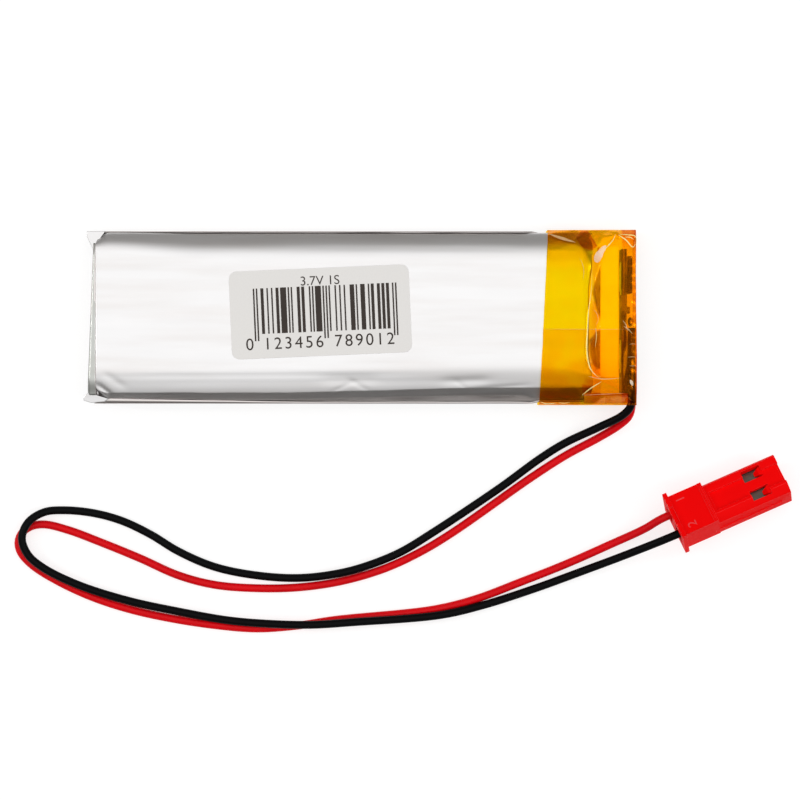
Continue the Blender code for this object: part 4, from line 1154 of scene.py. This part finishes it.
# Painted highlights and glare: each line's look, greatest width and route, and how far along it that width
# comes if not near the middle
GLINTS = (
    (FOLD_GLINT, 0.15, ((26.4, 6.1), (26.42, 4.6), (26.3, 2.6), (26.05, 0.8), (25.95, -1.0), (25.84, -3.6),
                        (25.98, -5.0), (26.3, -6.0), (26.9, -6.7), (27.5, -7.05)), 0.7),
    (FOLD_GLINT, 0.08, ((26.9, -1.2), (27.0, -2.2), (26.85, -3.5))),
    (FOLD_GLINT, 0.14, ((29.5, 9.5), (30.4, 8.9), (31.2, 8.1), (31.55, 8.5))),
    (FOLD_GLINT, 0.12, ((29.6, 9.55), (30.6, 9.5), (31.5, 9.3), (31.62, 8.2))),
    (FOLD_GLINT, 0.1, ((30.3, 9.25), (30.9, 9.2), (31.3, 8.95))),
    (FOLD_GLINT, 0.1, ((29.2, 9.6), (28.9, 8.9), (28.2, 8.1), (27.7, 7.6))),
    (SOFT_GLINT, 0.1, ((26.0, -6.8), (27.6, -7.1), (29.9, -7.0))),
    (FOLD_GLINT, 0.12, ((25.3, -9.0), (26.3, -8.2), (27.6, -7.4))),
    (SOFT_GLINT, 0.06, ((25.3, -9.0), (27.0, -8.9), (30.3, -8.75))),
    (SOFT_GLINT, 0.12, ((30.1, -1.0), (30.7, -1.4), (31.2, -1.95))),
    (SOFT_GLINT, 0.08, ((30.0, -0.3), (30.4, -0.9), (30.6, -1.6))),
    (SOFT_GLINT, 0.07, ((30.8, -3.1), (31.3, -3.05), (31.6, -3.1))),
    (SOFT_GLINT, 0.07, ((30.6, -4.6), (31.2, -4.55), (31.6, -4.6))),
    (SOFT_GLINT, 0.06, ((30.8, -5.6), (31.2, -5.6), (31.6, -5.6))),
    (SOFT_GLINT, 0.3, ((21.6, 9.6), (23.0, 9.1), (24.6, 8.6))),
    (SOFT_GLINT, 0.035, ((20.6, -1.38), (24.0, -1.4), (31.6, -1.38))),
    (FOLD_GLINT, 0.09, ((20.55, -9.75), (21.2, -9.95), (22.4, -9.9)), 0.4),
    (FOLD_GLINT, 0.05, ((22.6, -9.8), (23.3, -9.9), (24.0, -9.8)), 0.5),
    (SOFT_GLINT, 0.05, ((24.9, 6.9), (25.3, 6.2), (25.5, 5.2), (25.4, 4.3)), 0.5),
    (SOFT_GLINT, 0.06, ((26.6, 0.9), (27.0, 0.5), (27.2, -0.3), (26.9, -1.0)), 0.4),
    (GLARE, 0.95, ((26.95, 6.3), (27.15, 6.9), (27.5, 7.5), (28.1, 8.3)), 0.35),
    (GLARE, 0.35, ((30.9, -7.2), (31.1, -7.6), (31.2, -7.9))),
)
# How far the ribbons stand over the creased film, and how far they droop towards their sides
GLINT_LIFT = 0.1
GLINT_DROOP = 0.02


def glint_mesh(width, route, peak=0.45):
    """Ribbon of painted highlight along the route that lies on the film and runs to a point at both ends.
    """
    rows = []
    bend = math.log(0.5) / math.log(peak)
    line, _ = smooth_route([(x, y, 0.0) for x, y in route], 40)
    for number, point in enumerate(line):
        share = number / (len(line) - 1)
        before, after = line[max(number - 1, 0)], line[min(number + 1, len(line) - 1)]
        ahead = (Vector(after) - Vector(before)).normalized()
        bow = math.sin(math.pi * share ** bend) ** 0.7
        half = 0.5 * width * bow * (1 + 0.35 * wobble(point[0], point[1], 1.5, 71.0))
        row = []
        for side in (-1, -0.4, 0.4, 1):
            x, y = point[0] + side * half * ahead.y, point[1] - side * half * ahead.x
            row.append((x, y, film_height(x, y) + GLINT_LIFT - GLINT_DROOP * abs(side)))
        rows.append(row)
    return grid_mesh("glint", rows)


for number, (glint_material, *glint_shape) in enumerate(GLINTS, 1):
    add_object(f"film_glint_{number}", glint_mesh(*glint_shape), glint_material)


# -------- label

LABEL_SIZE = (20.7, 10.1)
LABEL_CORNER = 0.9
LABEL_TURN = 2.5
LABEL_THICKNESS = 0.08
# Width of the code's narrowest bar
MODULE = 0.174
# Places on the label, from its middle
BARS_LEFT = -7.65
BAR_TOP = 3.0
BAR_BOTTOM = -2.25
GUARD_BOTTOM = -3.05
DIGIT_SIZE = 1.95
DIGIT_LINE = -4.05
CAPTION = "3.7V 1S"
CAPTION_SIZE = 1.5
CAPTION_PLACE = (0.1, 3.12)
INK_THICKNESS = 0.012
# The ink reaches this far into the paper
INK_ROOT = 0.004
LABEL_NUMBER = "0123456789012"
# Digits in a row: the first one's place and the step to the next
DIGIT_GROUPS = (
    (LABEL_NUMBER[:1], -8.25, 0.0), (LABEL_NUMBER[1:7], -6.2, 1.2), (LABEL_NUMBER[7:], 1.95, 1.2),
)
# Dark and light modules that stand for each digit on the left half; the right half swaps them
DIGIT_CODES = "0001101 0011001 0010011 0111101 0100011 0110001 0101111 0111011 0110111 0001011".split()

label_low, label_high = (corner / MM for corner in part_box("barcode_label"))


def bar_runs():
    """(first module, last module + 1, is guard) of each dark bar."""
    swap = str.maketrans("01", "10")
    left = "".join(DIGIT_CODES[int(digit)] for digit in LABEL_NUMBER[1:7])
    right = "".join(DIGIT_CODES[int(digit)].translate(swap) for digit in LABEL_NUMBER[7:])
    modules = "101" + left + "01010" + right + "101"
    guards = {*range(3), *range(45, 50), *range(92, 95)}
    runs = []
    start = None
    for position, module in enumerate(modules + "0"):
        if module == "1" and start is None:
            start = position
        if module == "0" and start is not None:
            runs.append((start, position, start in guards))
            start = None
    return runs


def label_pieces():
    """The paper label and its print, as one mesh of ink that stands a little off the paper."""
    middle = (label_low + label_high) / 2
    lay = place(middle.x, middle.y, label_high.z - LABEL_THICKNESS, LABEL_TURN)
    outline = rounded_outline(LABEL_SIZE[0] / 2, LABEL_SIZE[1] / 2, LABEL_CORNER)
    paper_mesh = prism_mesh("label_paper", outline, 0.0, LABEL_THICKNESS)
    paper = add_object("label_paper", paper_mesh, PAPER)
    paper.data.transform(lay)
    soften(paper, 0.02)
    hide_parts("barcode_label")
    pieces, matrices = [], []
    for start, stop, guard in bar_runs():
        low = (BARS_LEFT + start * MODULE, GUARD_BOTTOM if guard else BAR_BOTTOM, -INK_ROOT)
        high = (BARS_LEFT + stop * MODULE, BAR_TOP, INK_THICKNESS)
        pieces.append(box_mesh("bar", low, high))
        matrices.append(place(0, 0, LABEL_THICKNESS))
    letters_z = LABEL_THICKNESS + INK_ROOT
    narrow = Matrix.Diagonal((0.98, 1.0, 1.0, 1.0))
    for digits, first, step in DIGIT_GROUPS:
        for number, digit in enumerate(digits):
            pieces.append(text_mesh(digit, DIGIT_SIZE, INK_THICKNESS))
            matrices.append(place(first + step * number, DIGIT_LINE, letters_z) @ narrow)
    pieces.append(text_mesh(CAPTION, CAPTION_SIZE, INK_THICKNESS))
    matrices.append(place(*CAPTION_PLACE, letters_z))
    ink = join_meshes("label_print", pieces, [lay @ matrix for matrix in matrices])
    add_object("label_print", ink, INK)


label_pieces()


# -------- connector

# Middle of the connector's rear face, and its turns in degrees. Its own X runs from there to the tip
PLUG_REAR = (36.1, -23.87, 3.55)
PLUG_TURN = 23.55
PLUG_DIP = 2.0
PLUG_ROLL = 25.0
PLUG_TIP = 13.75
FLANGE_LENGTH = 0.5
FLANGE_HALF = (2.95, 2.5)
COLLAR_END = 4.65
COLLAR_HALF = (2.6, 2.0)
NOSE_HALF = 2.5
NOSE_TOP = 1.6
# The ways lie at these Y places, round this height
WAYS = (1.25, -1.25)
WAY_HALF = (0.85, 0.95)
WAY_MIDDLE = -0.2
FUNNEL = 0.12
WINDOW_X = (9.35, 11.65)
WINDOW_HALF = 0.65
CHANNEL_HALF = 1.2
CHANNEL_FLOOR = 1.25
# Cutters reach these places, past the connector's rear, tip, sides and top
BEHIND = -1
BEYOND = 20
BESIDE = 9
ABOVE = 5


def plug_place():
    """Matrix from the connector's own axes to where it lies."""
    turn = Matrix.Rotation(math.radians(PLUG_TURN), 4, "Z")
    dip = Matrix.Rotation(math.radians(PLUG_DIP), 4, "Y")
    roll = Matrix.Rotation(math.radians(-PLUG_ROLL), 4, "X")
    return Matrix.Translation(Vector(PLUG_REAR) * MM) @ turn @ dip @ roll


def nose_mesh():
    """Nose section with a small chamfer on one top edge and a wide one on the other."""
    bottom = -COLLAR_HALF[1]
    section = (
        (NOSE_HALF, bottom), (NOSE_HALF, NOSE_TOP - 0.5), (NOSE_HALF - 0.35, NOSE_TOP),
        (0.95 - NOSE_HALF, NOSE_TOP), (-NOSE_HALF, NOSE_TOP - 0.75), (-NOSE_HALF, bottom),
    )
    rows = [[(x, y, z) for y, z in section] for x in (COLLAR_END - 1.0, PLUG_TIP)]
    shape = bmesh.new()
    shape.from_mesh(grid_mesh("nose", rows, closed=True))
    bmesh.ops.holes_fill(shape, edges=shape.edges)
    bmesh.ops.recalc_face_normals(shape, faces=shape.faces)
    return finished_mesh("nose", shape)


def way_block(middle, start, grown):
    """Corners of the block that cuts one way, or its wider mouth, from start to past the tip."""
    low = (start, middle - WAY_HALF[0] - grown, WAY_MIDDLE - WAY_HALF[1] - grown)
    high = (BEYOND, middle + WAY_HALF[0] + grown, WAY_MIDDLE + WAY_HALF[1] + grown)
    return low, high


def housing_steps():
    """(operation, piece, low corner, high corner) of each block added to the nose or cut from it."""
    half_y, half_z = COLLAR_HALF
    notch_x = PLUG_TIP - 0.3
    channel_x = COLLAR_END + 0.35
    groove_x = COLLAR_END - 0.32
    yield "UNION", "collar", (0.2, -half_y, -half_z), (COLLAR_END, half_y, half_z)
    yield "UNION", "flange", (0, -FLANGE_HALF[0], -FLANGE_HALF[1]), (FLANGE_LENGTH, *FLANGE_HALF)
    yield "UNION", "rim", (COLLAR_END - 0.5, -half_y, 0.5), (COLLAR_END - 0.02, half_y, half_z + 0.1)
    yield "DIFFERENCE", "groove", (groove_x, -BESIDE, half_z + 0.03), (groove_x + 0.12, BESIDE, ABOVE)
    yield "DIFFERENCE", "channel", (channel_x, -CHANNEL_HALF, CHANNEL_FLOOR), (BEYOND, CHANNEL_HALF, ABOVE)
    yield "DIFFERENCE", "tip_notch", (notch_x, -CHANNEL_HALF, 0.9), (BEYOND, CHANNEL_HALF, ABOVE)
    yield "DIFFERENCE", "flange_notch", (BEHIND, -1.1, 2.15), (FLANGE_LENGTH - 0.02, 1.1, ABOVE)
    for middle in WAYS:
        yield "DIFFERENCE", "way", *way_block(middle, BEHIND, 0.0)
        near, far = middle - WINDOW_HALF, middle + WINDOW_HALF
        yield "DIFFERENCE", "window", (WINDOW_X[0], near, 0.0), (WINDOW_X[1], far, ABOVE)
        yield "DIFFERENCE", "funnel", *way_block(middle, PLUG_TIP - 0.35, FUNNEL)
    for side in (1, -1):
        rail = side * NOSE_HALF
        yield "UNION", "rail", (COLLAR_END - 0.5, rail - 0.12, -1.3), (PLUG_TIP - 1.2, rail + 0.12, -0.7)


def housing_mesh():
    """Flange, collar and nose as one piece, with its ways, windows and notches cut."""
    return carve(nose_mesh(), [(operation, box_mesh(*block)) for operation, *block in housing_steps()])


def lance_mesh(middle):
    """Sprung tongue of the housing that reaches back into the window and holds the contact."""
    tip = WINDOW_X[0] + 1.4
    root = WINDOW_X[1] + 0.1
    outline = ((root, 0.65), (root, 1.3), (WINDOW_X[1] - 0.35, 1.3), (tip, 0.72), (tip, 0.62))
    mesh = prism_mesh("lance", outline, -0.6, 0.6)
    for vert in mesh.vertices:
        vert.co.z *= 0.4 + 0.6 * (vert.co.x / MM - tip) / (root - tip)
    upright = Matrix.Rotation(math.pi / 2, 4, "X")
    mesh.transform(place(0, middle, 0) @ upright)
    return mesh


def connector_pieces():
    """The housing, its two tongues and the numerals beside its ways."""
    plug = plug_place()
    housing = add_object("plug_housing", housing_mesh(), [RED_NYLON, RED_EDGE_HIGHLIGHT])
    housing.data.transform(plug)
    # The rounded edges take the painted-highlight red
    soften(housing, 0.06, angle=30.0).material = 1
    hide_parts("connector_housing")
    lances = join_meshes("plug_lances", [lance_mesh(middle) for middle in WAYS])
    lances.transform(plug)
    tongues = add_object("plug_lances", lances, RED_NYLON)
    soften(tongues, 0.04)
    marks, matrices = [], []
    for numeral, middle in zip("12", WAYS):
        marks.append(text_mesh(numeral, 1.5, 0.1))
        matrices.append(plug @ place(1.7, middle * 1.35, COLLAR_HALF[1], 90) @ place(0, -0.5, 0))
    # The numerals take the painted-highlight red too
    add_object("way_numerals", join_meshes("way_numerals", marks, matrices), RED_EDGE_HIGHLIGHT)
    return housing, tongues


plug_housing, plug_lances = connector_pieces()


# -------- carried-over pieces

CARRIED_LOOKS = {
    "cathode_foil": CATHODE, "anode_foil": COPPER,
    "inner_separator": SEPARATOR, "outer_separator": SEPARATOR, "roll_tape": GREEN_TAPE,
    "positive_tab": ALUMINIUM, "negative_tab": NICKEL,
    "positive_tab_film": SEAL_FILM, "negative_tab_film": SEAL_FILM,
    "positive_weld_plate": NICKEL, "negative_weld_plate": NICKEL,
    "positive_solder_joint": SOLDER, "negative_solder_joint": SOLDER,
    "positive_contact": SHADED_TIN, "negative_contact": SHADED_TIN,
    "protection_board": BOARD, "insulating_strip": FIBRE_STRIP, "mosfet_pair": CHIP,
    "protection_chip": CHIP, "sense_resistor": CHIP, "filter_capacitor": CERAMIC,
}
for node_name, node_look in CARRIED_LOOKS.items():
    for material_slot in bpy.data.objects[node_name].material_slots:
        material_slot.material = node_look


# -------- stage and light

FLOOR_HALF = 900.0
# The dome's brightness against the height and the Y part of a direction
DOME_LEVELS = (
    (-1.0, 0.25), (0.0, 0.25), (0.4, 0.3), (0.6, 0.51),
    (0.75, 0.84), (0.87, 1.29), (0.96, 1.58), (1.0, 1.62),
)
SIDE_LEVELS = ((-1.0, 0.3), (-0.6, 0.72), (-0.2, 1.0), (1.0, 1.0))
# The dome is grey from the bright level up, and reddens towards this share as it darkens
DOME_WARMTH = 0.05
BRIGHT_LEVEL = 1.0
# The floor lies this far below the pack
FLOOR_DROP = 0.05
# Narrow soft lights over the pack's two ends, in metres and watts
STRIP_PLACE = (0.46, -0.05, 0.38)
STRIP_SIZE = (0.012, 0.25)
STRIP_POWER = 0.45


def stage():
    """Plain pale floor, with a glow that brings it to the photo's white."""
    corners = [[(x, y, -FLOOR_DROP) for y in (-FLOOR_HALF, FLOOR_HALF)] for x in (FLOOR_HALF, -FLOOR_HALF)]
    floor = link_object("floor", grid_mesh("floor", corners))
    look = Look("floor_paper", base_color=(0.35, 0.35, 0.35), roughness=0.9, emission_strength=0.72)
    look.shader.inputs["Emission Color"].default_value = (1, 1, 1, 1)
    floor.data.materials.append(look.material)


def area_light(name, at, size, power):
    """Rectangular light that faces the middle of the stage; its place and size are in metres."""
    data = bpy.data.lights.new(name, "AREA")
    data.shape = "RECTANGLE"
    data.size, data.size_y = size
    data.energy = power
    light = link_object(name, data)
    light.location = at
    light.rotation_euler = (-Vector(at)).to_track_quat("-Z", "Y").to_euler()


def studio_world():
    """Bright soft dome overhead that falls off to a dim horizon, dimmer on the -Y side."""
    world = bpy.data.worlds.new("studio")
    world.use_nodes = True
    nodes, links = world.node_tree.nodes, world.node_tree.links
    coordinates = nodes.new("ShaderNodeTexCoord")
    parts = nodes.new("ShaderNodeSeparateXYZ")
    links.new(coordinates.outputs["Generated"], parts.inputs[0])
    shades = []
    for axis, levels, warmth in (("Z", DOME_LEVELS, DOME_WARMTH), ("Y", SIDE_LEVELS, 0.0)):
        ramp = nodes.new("ShaderNodeValToRGB")
        from_minus_one = nodes.new("ShaderNodeMapRange")
        from_minus_one.inputs["From Min"].default_value = -1.0
        links.new(parts.outputs[axis], from_minus_one.inputs["Value"])
        stops = []
        for position, level in levels:
            warm = warmth * max(0.0, 1 - level / BRIGHT_LEVEL)
            colour = (level / 2 * (1 + warm), level / 2, level / 2 * (1 - warm))
            stops.append(((position + 1) / 2, colour))
        set_stops(ramp, stops)
        links.new(from_minus_one.outputs["Result"], ramp.inputs["Fac"])
        shades.append(ramp.outputs["Color"])
    both = nodes.new("ShaderNodeMix")
    both.data_type = "RGBA"
    both.blend_type = "MULTIPLY"
    both.inputs["Factor"].default_value = 1.0
    links.new(shades[0], both.inputs[6])
    links.new(shades[1], both.inputs[7])
    links.new(both.outputs[2], nodes["Background"].inputs["Color"])
    # Both ramps hold half of their level
    nodes["Background"].inputs["Strength"].default_value = 4.0
    bpy.context.scene.world = world


stage()
studio_world()
area_light("left_strip", (-STRIP_PLACE[0], -STRIP_PLACE[1], STRIP_PLACE[2]), STRIP_SIZE, STRIP_POWER)
area_light("right_strip", STRIP_PLACE, STRIP_SIZE, STRIP_POWER)
bpy.context.scene.view_settings.view_transform = "Standard"
